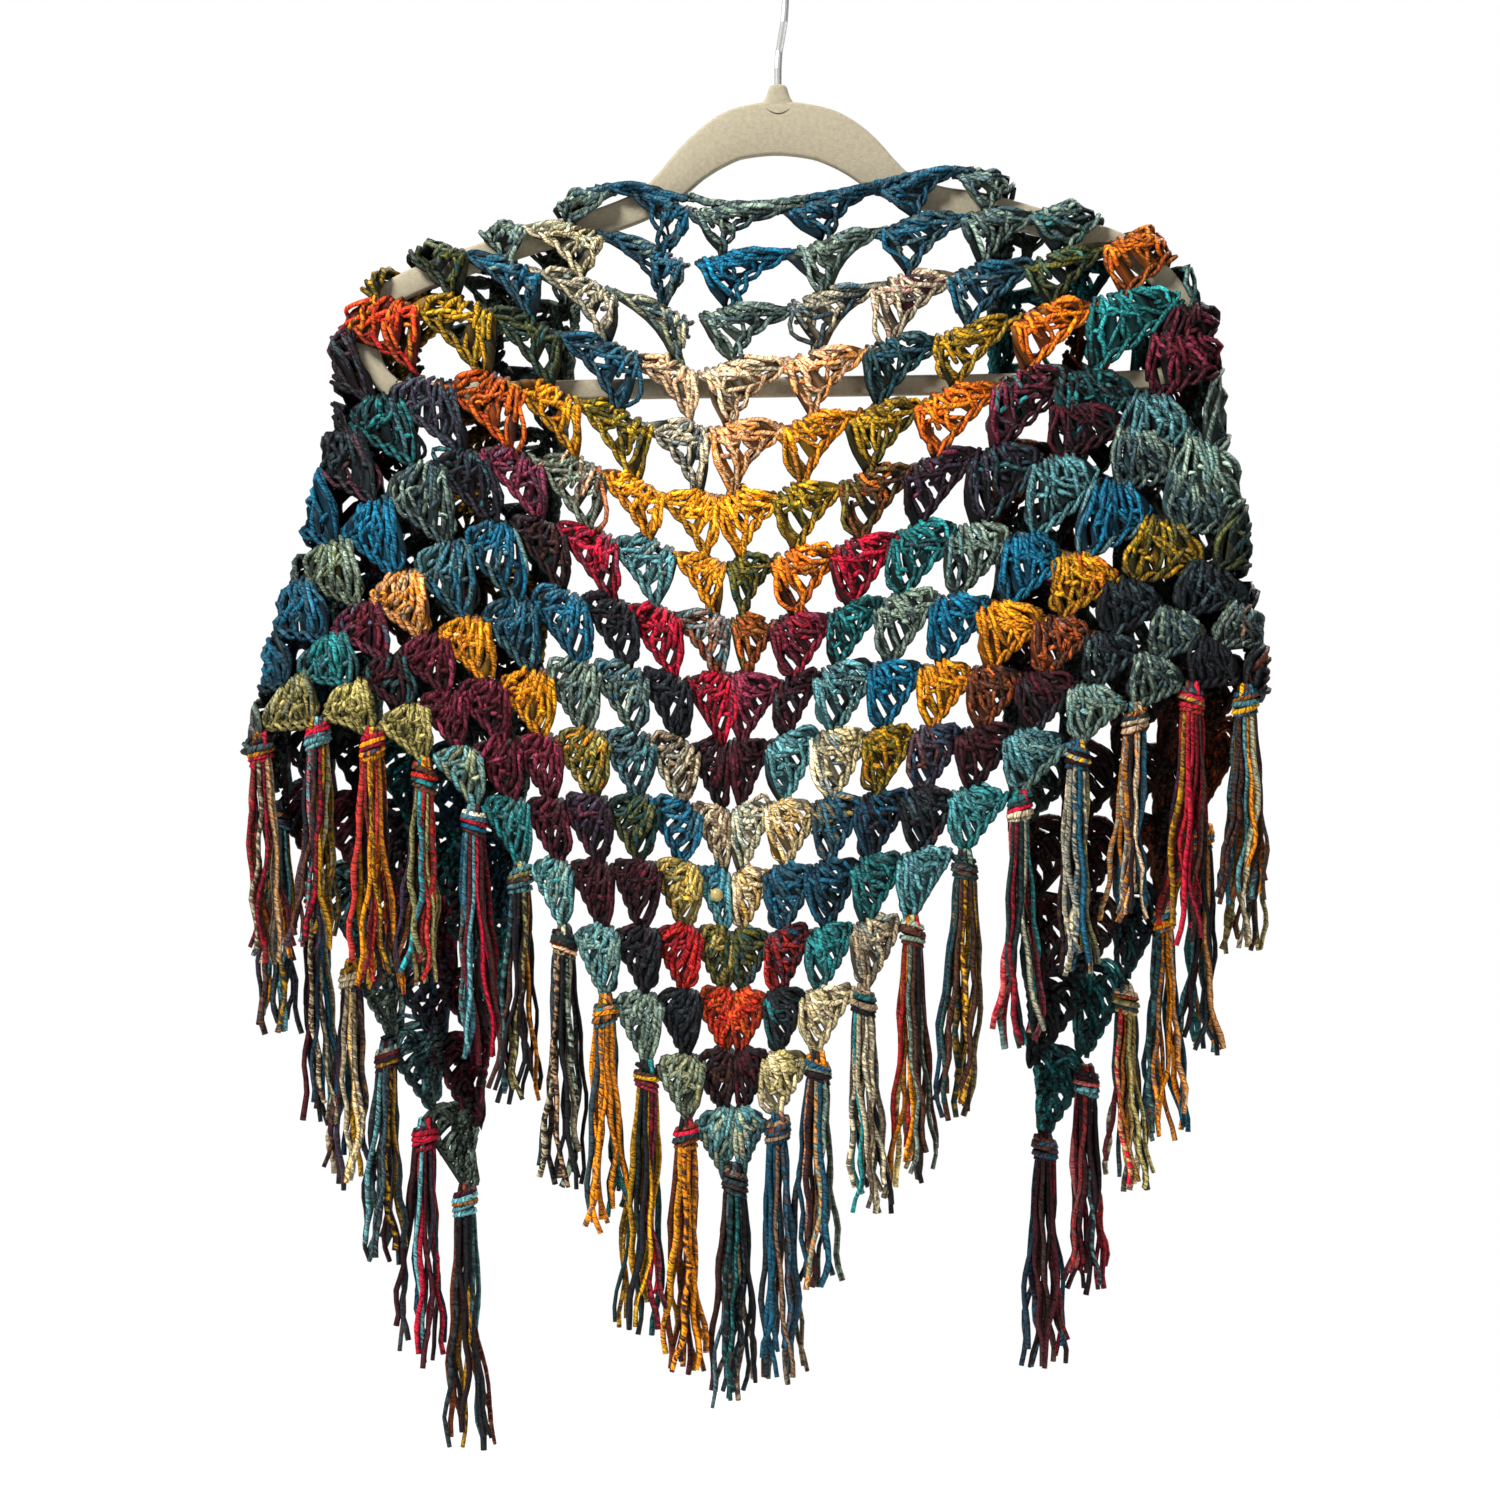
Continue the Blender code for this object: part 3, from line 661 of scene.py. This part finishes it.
def side_loops(bunch):
    """Thin loose loops that bow out beside the outer posts."""
    way = np.linspace(0, 1, 9)
    side = np.array([-1, -1, 1, 1])[:, None]
    each = (bunch.n, len(side), 1)
    reach = rng.uniform(*LOOP_REACH, each) * (0.3 if bunch.few else 1.0)
    f = 0.5 + side * (LOOP_SIDE + reach * np.sin(math.pi * way) ** 0.8)
    u, v = bunch.fan(f, rng.uniform(*LOOP_START, each) * (1 - way) + 0.95 * way)
    return u, v, -0.8 + 2.2 * np.sin(math.pi * way) + rng.normal(0, 0.5, each)


STITCHES = {posts: 1.0, chain: 1.0, top_cord: 1.0, bars: 1.0, slips: 0.9, hair: 1.0,
            side_loops: 0.85}


def by_posts(cells):
    """Splits cells by the number of posts that their rows have."""
    for count, rows in POSTS_BY_ROW.items():
        chosen = [cell for cell in cells if int(cell[0] + cell[1]) in rows]
        if chosen:
            yield chosen, count


def work_clusters(basket, side, cells, spread=SPREAD):
    """Works clusters at the given (i, j) cells of one half into a basket."""
    half = HALVES[side]
    for chosen, count in by_posts(cells):
        bunch = Clusters(chosen, count, spread)
        charts = [(a, b, dyes(side, a + int(b))) for a, b, _ in chosen]
        names = [shades[a + (b > int(b) and a + b > DARK_TURN_FROM)] for a, b, shades in charts]
        nexts = [shades[a + 1] for a, _, shades in charts]
        dim = np.interp([a + b for a, b, _ in chosen], DIM_ROWS, ROW_PAINTED_SHADE)
        for stitch, thickness in STITCHES.items():
            u, v, height = stitch(bunch)
            points, out = half.lay(u, v, height)
            strands, length = u.shape[1:]
            shade_a, shade_b = strand_shades(names, nexts, strands)
            # Painted light and shade by height in the cluster and by row.
            painted_shading = np.interp(height, SHADOW_HEIGHTS, SHADOWS).reshape(-1, length)
            painted_shading = painted_shading * np.repeat(dim, strands)[:, None]
            basket.add(points.reshape(-1, length, 3), out.reshape(-1, length, 3),
                       YARN_RADIUS * THICK_YARN[count] * thickness, shade_a, shade_b, painted_shading)


# %% [markdown]
# ## Working the whole shawl
# The clusters of a stretch become one mesh. The stretches are split by V-rows, as a maker would
# count them, which also keeps each mesh light. Every stretch stands for the wall that it covers.

# %% Work the stretches
CRUMPLED_OVER, CRUMPLED_TALL, SHORT_TALL, DARK_TURN_FROM = 44 * MM, 0.64, 0.78, 9
CELL_MIDDLE = 0.4


def cells_of(side, behind, rows=range(ROWS)):
    """Cells (i, j, tall) in front or behind. Where the turn crumples the cloth, two overlap."""
    half = HALVES[side]
    found = []
    for row in rows:
        for i in range(row + 1):
            j = row - i
            if (half.beyond(i + CELL_MIDDLE, j + CELL_MIDDLE) > 0) != behind:
                continue
            long_side = np.linalg.norm(half.place(i, j + 1) - half.place(i, j))
            if long_side > CRUMPLED_OVER and row < DARK_TURN_FROM:
                found.append((i, j, SHORT_TALL))
            elif long_side > CRUMPLED_OVER:
                found += [(i, j, CRUMPLED_TALL), (i, j + 1 - CRUMPLED_TALL, CRUMPLED_TALL)]
            else:
                found.append((i, j, 1))
    return found


for name, rows in (
        ("front_rows_01_08", range(0, 8)), ("front_rows_09_11", range(8, 11)),
        ("front_rows_12_14", range(11, 14)), ("front_rows_15_16", range(14, ROWS))):
    basket = Basket()
    for side in HALVES:
        work_clusters(basket, side, cells_of(side, False, rows))
    basket.join(name)
    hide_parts("shawl_front")
for side in HALVES:
    name = f"wing_{side}_rows"
    basket = Basket()
    work_clusters(basket, side, cells_of(side, True), WING_SPREAD)
    basket.join(name)
    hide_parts(f"wing_{side}")

# %% [markdown]
# ## The ground of the clusters
# Behind the posts the strands lie so close that little light comes through. A thin sheet with a
# gap beside each cluster gives that ground. It is the shawl's cloth as cut.

# %% Lay the ground
GROUND_HALF = 0.55
GROUND_WAYS = [0.02, 0.2, 0.38, 0.55, 0.72, 0.88, 1.03]
RIB_WIDE, RIB_DENSE = 0.31, 0.42
# Painted shade: the ground takes its cluster's dye at 0.4 of its brightness, for the deep strands
# in shadow behind the posts.
GROUND_PAINTED_SHADE = 0.4
GRAIN_ACROSS, GRAIN_DOWN = 21, 13
# A cluster's size as cut, outward and down.
PITCH_OUT, PITCH_DOWN = 0.034, 0.032


def ground_of(bunch):
    """The ground of each cluster: ribs under the posts, joined at the base and the chain."""
    rib = (RIB_WIDE if bunch.few else RIB_DENSE) / bunch.count * bunch.spread / SPREAD
    spokes = np.stack([bunch.middles - rib, bunch.middles + rib], -1).ravel()
    ways = np.array(GROUND_WAYS)[:, None]
    u, v = bunch.fan(spokes, ways)
    height = np.interp(ways, POST_WAYS, POST_HEIGHTS) + 0 * spokes
    faces = []
    rings = len(ways) - 1
    for ring in range(rings):
        for spoke in range(len(spokes) - 1):
            if ring in (0, rings - 1) or spoke % 2 == 0:
                k = ring * len(spokes) + spoke
                faces.append((k, k + 1, k + 1 + len(spokes), k + len(spokes)))
    return u, v, np.broadcast_to(height, u.shape), faces


def lay_ground(name, stretch, spread=SPREAD):
    points, quads, shades = [], [], []
    base = 0
    for side, cells, count in [(side, *some) for side, cells in stretch
                               for some in by_posts(cells)]:
        u, v, height, faces = ground_of(Clusters(cells, count, spread))
        half = HALVES[side]
        outer, _ = half.lay(u, v, height + GROUND_HALF)
        inner, _ = half.lay(u, v, height - GROUND_HALF)
        size = u[0].size
        used = {(a, b) for face in faces for a, b in zip(face, face[1:] + face[:1])}
        walls = sorted((b, a, a + size, b + size) for a, b in used if (b, a) not in used)
        lids = [tuple(n + size for n in reversed(face)) for face in faces]
        one = np.array(faces + lids + walls)
        if side == "left":
            one = one[:, ::-1]
        for k, (a, b, _) in enumerate(cells):
            points += [outer[k].reshape(-1, 3), inner[k].reshape(-1, 3)]
            quads.append(one + base)
            base += 2 * size
            shade = GROUND_PAINTED_SHADE * np.array(shade_pair(dyes(side, a + int(b))[a]))
            shades.append(np.broadcast_to(shade, (2 * size, 6)))
    points = np.concatenate(points)
    mesh = mesh_from_arrays(name, points, np.concatenate(quads))
    # The ground's twist has a low second value, so the material's painted side shade darkens it
    # further; its grain runs across and down.
    twist = (np.array([0.9, 0.2, 0]) + points[:, :1] * [0, 0, GRAIN_ACROSS]
             + points[:, 2:] * [0, 0, GRAIN_DOWN])
    paint_yarn(mesh, twist, np.concatenate(shades))
    piece = add_piece(name, mesh, yarn)
    print(name, "faces", len(mesh.polygons))


front_cells = [(side, cells_of(side, False)) for side in HALVES]
lay_ground("front_ground", front_cells)
for side in HALVES:
    wide = (ROWS - HALVES[side].crossing) * PITCH_OUT
    lay_ground(f"wing_{side}_ground", [(side, cells_of(side, True))],
               WING_SPREAD)

# %% [markdown]
# ## The long edge
# The top of the shawl is finished with a firm round of chain, so it reads as a rope.

# %% Plait the rope
# Points and turns for each cluster, and how far the strands swing across and outward.
ROPE_POINTS, ROPE_TURNS = 9, 1.9
ROPE_WIDE, ROPE_DEEP = 0.045, 1.4
basket = Basket()
for side, half in HALVES.items():
    for row in range(ROWS):
        way = np.linspace(row - 0.03, row + 1.03, ROPE_POINTS)
        phase = 2 * math.pi * (ROPE_TURNS * way + np.arange(3)[:, None] / 3)
        u = np.broadcast_to(way, phase.shape)
        v = -0.015 + ROPE_WIDE * np.sin(phase)
        points, out = half.lay(u, v, 0.9 + ROPE_DEEP * np.sin(2 * phase))
        last = dyes(side, row)[row:row + 1]
        basket.add(points, out, YARN_RADIUS, *strand_shades(last, last, 3))
basket.join("long_edge_rope")

# %% [markdown]
# ## Tassels
# Each tassel is a bundle of cut yarns folded through a joint of the edge and drawn tight with
# its own loop. The frame's tassel gives the place and the length, and the yarns keep to it.

# %% Tie the tassels
TASSEL_YARNS = 14
TASSEL_RADIUS = 1.45
TASSEL_THICK = (0.82, 1.22)
# Painted shade: the cut yarns darken towards the knot, where they bunch, from 0.95 at their ends
# to 0.55 at the top, so each yarn is also a little darker than its dye.
TASSEL_POINTS, TASSEL_PAINTED_SHADE = 17, (0.55, 0.95)
KNOT_TURNS = 5
# The knot and its loops take an even painted shade of 0.9.
KNOT_RADIUS, KNOT_PAINTED_SHADE = 1.75, 0.9
TOP_SLICE, LOW_SLICE = 1 * MM, 22 * MM
JOINT_SHIFT = (0.18, -0.04)
DARK_FLECKS = ["ink", "slate", "plum", "brown"]
GUEST_DYES = ["orange", "cerise", "aqua", "cream", "blue", "plum", "brown", "ink", "pine"]
POINT_DYES = "slate tan teal ink"
TASSEL_DYES = {
    "left": [
        "gold wine ink rust", "cerise teal gold ink", "gold teal ink slate", "ink sage peach ink",
        "orange aqua straw ink", "sky aqua cream wine", "red mauve straw teal",
        "orange gold ink mauve", "aqua aqua gold mauve", "ink slate cerise brown",
        "slate mauve gold ink", "ink cream wine blue", "gold plum blue mauve",
        "gold slate sage wine", "plum cerise blue wine", "rust wine gold ink"],
    "right": [
        "blue tan rust ink", "sage blue plum orange", "cream tan ink teal",
        "orange red sage straw", "blue sage gold plum", "plum cream teal teal",
        "straw gold plum blue", "orange aqua ink cream", "cerise red gold mauve",
        "gold orange aqua brown", "straw straw cream slate", "plum slate ink teal",
        "blue aqua orange wine", "rust gold slate straw", "cerise wine plum red",
        "wine cerise blue plum"],
}


def tassel_axis(name):
    """The joint, a low point and the end of a tassel of the frame."""
    points = np.array([vertex.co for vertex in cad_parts[name].data.vertices])
    top = points[points[:, 2] > points[:, 2].max() - TOP_SLICE].mean(0)
    low = points[points[:, 2] < points[:, 2].min() + LOW_SLICE].mean(0)
    shift = np.zeros(3)
    if name != "tassel_point":
        _, side, number = name.split("_")
        i = int(number)
        if i < ROWS:
            shift = HALVES[side].place(i + JOINT_SHIFT[0], ROWS - i + JOINT_SHIFT[1])
            shift = shift - HALVES[side].place(i, ROWS - i)
    return top + shift, low + shift, points[:, 2].min()


def tassel_strands(top, low, end):
    """The cut yarns of a tassel: a tight bundle that loosens and wanders as it falls."""
    n = TASSEL_YARNS
    length = top[2] - end
    lean = (low - top) * [1, 1, 0]
    angle = 2 * math.pi * (np.arange(n) / n) + rng.uniform(0, 6)
    way = np.linspace(0.05, 1, TASSEL_POINTS)
    reach = length * (1 - 0.20 * rng.beta(1.1, 2.2, (n, 1)))
    full = rng.uniform(0.45, 1.0, (n, 1))
    spread = (1.8 + (3.0 + 5.4 * way) * full * np.minimum(way / 0.12, 1.0)) * MM
    wander = rng.uniform(0, 6, (2, n, 1))
    pace = rng.uniform(2, 6, (2, n, 1))
    sway = 5.5 * MM * np.sin(way * pace + wander) * way ** 1.2
    kink = 1.5 * MM * np.sin(way * rng.uniform(14, 26, (n, 1)) + wander[0]) * way
    x = np.cos(angle)[:, None] * spread + sway[0] + kink + lean[0] * way ** 1.5
    y = np.sin(angle)[:, None] * spread + sway[1] * 0.6 + lean[1] * way ** 1.5
    path = np.stack([top[0] + x, top[1] + y, np.broadcast_to(top[2] - reach * way, x.shape)], -1)
    out = np.stack([np.cos(angle), np.sin(angle), np.zeros(n)], -1)
    return path, np.broadcast_to(out[:, None], path.shape)


def tassel_knot(top):
    """The wraps of the knot under the joint."""
    each = (KNOT_TURNS, 1)
    round_it = np.linspace(0, 2 * math.pi, 15)
    down = np.linspace(1.5, 11.5, KNOT_TURNS)[:, None] + rng.normal(0, 0.3, each)
    wide = (3.8 + 1.3 * np.sin(math.pi * np.linspace(0.12, 0.88, KNOT_TURNS)))[:, None]
    tilt = rng.uniform(1.0, 2.6, each) * rng.choice([-1, 1])
    knot = np.stack([
        top[0] + wide * 1.12 * MM * np.cos(round_it), top[1] + wide * MM * np.sin(round_it),
        top[2] - down * MM + tilt * MM * np.cos(round_it + rng.uniform(-0.5, 0.5, each))], -1)
    return knot, unit((knot - top) * [1, 1, 0])


def tassel_loops(top):
    """The loops that carry the tassel over the joint."""
    over = np.linspace(-0.3, 1.3, 9) * math.pi
    sideways = np.array([-2.6, 0.0, 2.6])[:, None] * (1 - 0.25 * np.sin(over))
    loop = np.stack([
        top[0] + sideways * MM, np.broadcast_to(top[1] - 4.2 * MM * np.cos(over), (3, 9)),
        np.broadcast_to(top[2] + (-1.0 + 4.2 * np.sin(over)) * MM, (3, 9))], -1)
    out = np.stack([np.zeros(9), -np.cos(over), np.sin(over)], -1)
    return loop, np.broadcast_to(out, loop.shape)


def tie_tassel(basket, name, shades):
    top, low, end = tassel_axis(name)
    shades = shades + list(rng.choice(GUEST_DYES, 2))
    flecks = shades + DARK_FLECKS
    # Painted shade along each cut yarn, darkest at the knot.
    falling = np.linspace(*TASSEL_PAINTED_SHADE, TASSEL_POINTS)
    for (path, out), radius, painted_shading in (
            (tassel_strands(top, low, end), TASSEL_RADIUS, falling),
            (tassel_knot(top), KNOT_RADIUS, KNOT_PAINTED_SHADE),
            (tassel_loops(top), YARN_RADIUS, KNOT_PAINTED_SHADE)):
        count = len(path)
        picks = [shades[k] + "+" + flecks[m] for k, m in zip(
            rng.integers(0, len(shades), count), rng.integers(0, len(flecks), count))]
        both_shades = strand_shades(picks, picks, 1)
        thick = radius * rng.uniform(*TASSEL_THICK, (count, 1))
        basket.add(path, out, thick, *both_shades, painted_shading)


for group in ("left", "right"):
    basket = Basket()
    tied = []
    for k, shades in enumerate(TASSEL_DYES[group]):
        tied.append(f"tassel_{group}_{k + 1:02d}")
        tie_tassel(basket, tied[-1], shades.split())
    if group == "right":
        tied.append("tassel_point")
        tie_tassel(basket, tied[-1], POINT_DYES.split())
    fringe = basket.join(f"tassels_{group}")
    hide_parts(*tied)

# %% [markdown]
# ## The bead
# One small bead was threaded onto the yarn in the left half. It is turned as a ring with a bore
# along the strand that carries it.

# %% Thread the bead
BEAD_PLACE = (0.45, 11.35)
BEAD_RADIUS, BORE_RADIUS, BEAD_HEIGHT = 3.5, 0.9, 4.6
BEAD_SIDES = 24
bead_at, _ = HALVES["left"].lay(*BEAD_PLACE, BEAD_HEIGHT)
lip = math.asin(BORE_RADIUS / BEAD_RADIUS)
arc = np.linspace(lip, math.pi - lip, 15)
outline = np.stack([BEAD_RADIUS * np.cos(arc), BEAD_RADIUS * np.sin(arc)], -1)
bore = np.stack([np.linspace(outline[-1, 0], outline[0, 0], 5)[1:-1],
                 np.full(3, BORE_RADIUS)], -1)
outline = np.concatenate([outline, bore])
turn = circle(BEAD_SIDES)[:, None]
bead = np.stack([np.broadcast_to(outline[:, 0], (BEAD_SIDES, len(outline))),
                 outline[:, 1] * np.cos(turn), outline[:, 1] * np.sin(turn)], -1).reshape(-1, 3)
bead_mesh = mesh_from_arrays("bead", bead_at + bead * MM,
                             ring_quads(BEAD_SIDES, len(outline), closed=True))
amber, tree, shader = new_material("amber")
tone = mottle(tree, cloud(tree, 260.0, 3.0), (0.30, 0.21, 0.045), (0.66, 0.53, 0.22))
feed(tree, shader, {"Base Color": tone, "Roughness": 0.22})
add_piece("bead", bead_mesh, amber)
print("bead at", bead_at / MM)

# %% [markdown]
# ## The hanger
# The hanger is a flat plate covered with short flock: a closed band that makes the neck, the
# two arms and the bar. Its edges are rounded, which the flock makes softer still, so the band
# is swept here with a round edge. It follows the frame's plain band, but with a rounder neck.

# %% Sweep the band
# Clockwise from the neck: the middle of the band, across and up, and its width, in millimetres.
HANGER = [
    (0, -91.5, 28.8), (20, -93.8, 28.6), (32, -98.4, 27.6), (43, -105.6, 25),
    (54.5, -115.6, 21.2), (66, -123.2, 17.5), (84, -129, 15), (109.6, -133.4, 15.2),
    (151.2, -144.9, 14.6), (182.3, -155, 14.2), (209, -178, 13), (217.5, -203, 12),
    (206, -220.5, 11), (184, -224.5, 11), (90, -226.5, 11), (-60, -228.5, 11),
    (-184, -230.5, 11), (-206, -226, 11), (-216.4, -207, 12), (-213, -189.5, 13),
    (-194.5, -173.4, 14), (-134.9, -152.3, 14.4), (-93.3, -140.7, 15), (-69, -131, 16.2),
    (-56.5, -121.4, 18.4), (-45, -109.9, 21.2), (-32.5, -100.4, 24.6), (-20, -94.2, 27.4),
]
HANGER_HALF_DEEP = 2.5
STATION_STEPS = EDGE_STEPS = 7
ROUNDING = 0.8


def smooth_stations(table):
    """Stations between the table's rows, on a curve that passes through them all."""
    line = np.array(table)
    t = (np.arange(STATION_STEPS) / STATION_STEPS)[None, :, None]
    p0, p1, p2, p3 = (np.roll(line, -n, 0)[:, None] for n in (-1, 0, 1, 2))
    return (0.5 * (2 * p1 + (p2 - p0) * t + (2 * p0 - 5 * p1 + 4 * p2 - p3) * t ** 2
                   + (3 * p1 - 3 * p2 + p3 - p0) * t ** 3)).reshape(-1, 3)


stations = smooth_stations(HANGER)
along = np.roll(stations, -1, 0) - np.roll(stations, 1, 0)
along /= np.hypot(along[:, 0], along[:, 1])[:, None]
bend = np.linspace(-math.pi / 2, math.pi / 2, EDGE_STEPS)
wide = stations[:, 2:3] / 2 - HANGER_HALF_DEEP * ROUNDING * (1 - np.cos(bend))
deep = np.broadcast_to(HANGER_HALF_DEEP * np.sin(bend), wide.shape)
wide, deep = np.concatenate([wide, -wide], 1), np.concatenate([deep, -deep], 1)
band = np.stack([stations[:, :1] - along[:, 1:2] * wide, deep,
                 stations[:, 1:2] + along[:, :1] * wide], -1) * MM
quads = ring_quads(len(stations), 2 * EDGE_STEPS, closed=True)[:, [0, 3, 2, 1]]
band_mesh = mesh_from_arrays("flocked_hanger", band.reshape(-1, 3), quads)
print("hanger band stations:", len(stations))

# %% [markdown]
# The neck rises to a small stub that the wire leaves, and the two halves of the moulding meet
# there in a curved seam.

# %% Neck stub and seam
# Heights up the stub and half its width there, in millimetres.
STUB = [(-88.0, 10.5), (-81.0, 9.6), (-77.5, 8.0), (-75.5, 6.6), (-73.0, 5.6), (-70.5, 4.9),
        (-69.2, 4.2), (-68.6, 2.9), (-68.4, 1.2)]
STUB_SIDES, STUB_SQUARE = 20, 0.7
SEAM_HALF, SEAM_LOW, SEAM_HIGH, SEAM_OUT, SEAM_THICK = 6.4, -84.0, -81.2, 2.45, 0.35
SEAM_POINTS, SEAM_SIDES = 15, 8


def ringed_tube(name, rings):
    """A closed mesh through rings of points, (rings, sides, 3), with fans at both ends."""
    count, sides = rings.shape[:2]
    ends = rings[[0, -1]].mean(1)
    s = np.arange(sides)
    e = (s + 1) % sides
    low, last = count * sides, (count - 1) * sides
    fans = np.concatenate([
        np.stack([np.full(sides, low), e, s], -1),
        np.stack([np.full(sides, low + 1), last + s, last + e], -1)])
    return mesh_from_arrays(name, np.concatenate([rings.reshape(-1, 3), ends]),
                            ring_quads(count, sides), fans)


def squared(wave):
    """A sine or cosine with its round drawn out to a squarer one."""
    return np.sign(wave) * np.abs(wave) ** STUB_SQUARE


turn = circle(STUB_SIDES)
rings = []
for z, half in STUB:
    deep = HANGER_HALF_DEEP * (0.98 if half > 4 else 0.75)
    rings.append(np.stack([half * squared(np.cos(turn)), deep * squared(np.sin(turn)),
                           np.full(STUB_SIDES, z)], -1))
stub_mesh = ringed_tube("neck_stub", np.array(rings) * MM)
bend = np.linspace(-1, 1, SEAM_POINTS)
line = np.stack([SEAM_HALF * bend, np.full(SEAM_POINTS, -SEAM_OUT),
                 SEAM_LOW + (SEAM_HIGH - SEAM_LOW) * bend ** 2], -1)
around = circle(SEAM_SIDES)
thick = SEAM_THICK * np.sqrt(np.clip(1.05 - bend ** 2, 0, 1))[:, None, None]
ring = np.stack([0 * around, np.cos(around), np.sin(around)], -1)
seam_mesh = ringed_tube("neck_seam", (line[:, None] + thick * ring) * MM)

# %% Flock and wire
velvet, tree, shader = new_material("cream_flock")
tone = mottle(tree, cloud(tree, 420.0, 5.0, 0.7), (0.25, 0.212, 0.143), (0.54, 0.474, 0.333))
pile = bump(tree, cloud(tree, 2200.0, 2.0), 0.0004, 0.6)
feed(tree, shader, {"Base Color": tone, "Normal": pile, "Roughness": 0.95, "Sheen Weight": 0.15})
for name, mesh in (("flocked_hanger", band_mesh), ("neck_stub", stub_mesh)):
    flocked = add_piece(name, mesh, velvet)
    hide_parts("hanger")

# The seam's dark colour is painted shadow in its crease.
crease, tree, shader = new_material("seam_shadow")
tone = mottle(tree, cloud(tree, 700.0, 3.0), (0.045, 0.035, 0.025), (0.13, 0.10, 0.075))
feed(tree, shader, {"Base Color": tone, "Roughness": 0.9})
add_piece("neck_seam", seam_mesh, crease)

steel, tree, shader = new_material("bright_wire")
polish = remap(tree, cloud(tree, 800.0, 2.0), (0, 1), (0.25, 0.4))
feed(tree, shader, {"Base Color": (0.72, 0.71, 0.69, 1), "Metallic": 0.7, "Roughness": polish})
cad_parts["hook"].data.materials.clear()
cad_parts["hook"].data.materials.append(steel)

# %% [markdown]
# ## The studio
# A pale floor in a white room, a soft light from the upper left, a weaker one from the right
# and one from behind. The camera stands level with the middle of the photograph.

# %% Light and camera
FRAME_SIDE = 1500
ORIGIN_COLUMN, ORIGIN_ROW = 778, -45
PIXEL = 0.527 * MM
CAMERA_AWAY = 1.75
ROOM_LIGHT = 0.16
SHAWL_MIDDLE = (0, 0, -0.4)
VIEW_CENTRE = ((FRAME_SIDE / 2 - ORIGIN_COLUMN) * PIXEL, (ORIGIN_ROW - FRAME_SIDE / 2) * PIXEL)


def light(name, place, size, watts):
    """A square soft light turned towards the middle of the shawl."""
    lamp = bpy.data.lights.new(name, "AREA")
    lamp.size = size
    lamp.energy = watts
    holder = put(name, lamp)
    holder.location = place
    aim = Vector(SHAWL_MIDDLE) - Vector(place)
    holder.rotation_euler = aim.to_track_quat("-Z", "Y").to_euler()
    holder.visible_camera = False


light("key", (-1.2, -1.1, 1.3), 0.55, 92)
light("fill", (1.5, -1.9, 0.1), 1.2, 11)
light("behind", (1.0, 1.5, 1.3), 1.2, 60)

paper, tree, shader = new_material("pale_paper")
feed(tree, shader, {"Base Color": (0.9, 0.9, 0.9, 1), "Roughness": 0.9})
FLOOR, FLOOR_RADIUS, FLOOR_SIDES = -0.98, 1.2, 96
turn = circle(FLOOR_SIDES)
points = np.stack([FLOOR_RADIUS * np.cos(turn), FLOOR_RADIUS * np.sin(turn),
                   np.full(FLOOR_SIDES, FLOOR)], -1)
points = np.concatenate([points, [[0, 0, FLOOR]]])
edge = np.arange(FLOOR_SIDES)
fans = np.stack([edge, (edge + 1) % FLOOR_SIDES, np.full(FLOOR_SIDES, FLOOR_SIDES)], -1)
floor = put("floor", mesh_from_arrays("floor", points, triangles=fans))
floor.data.materials.append(paper)

world = bpy.data.worlds.new("room")
world.use_nodes = True
tree = world.node_tree
seen = node(tree, "LightPath").outputs["Is Camera Ray"]
strength = sums(tree, "MULTIPLY_ADD", seen, 1 - ROOM_LIGHT, ROOM_LIGHT)
feed(tree, tree.nodes["Background"], {"Color": (1, 1, 1, 1), "Strength": strength})
bpy.context.scene.world = world
bpy.context.scene.view_settings.view_transform = "Standard"

lens = bpy.data.cameras.new("camera")
lens.lens = lens.sensor_width * CAMERA_AWAY / (FRAME_SIDE * PIXEL)
camera = put("camera", lens)
camera.location = (VIEW_CENTRE[0], -CAMERA_AWAY, VIEW_CENTRE[1])
camera.rotation_euler = (math.pi / 2, 0, 0)
bpy.context.scene.camera = camera
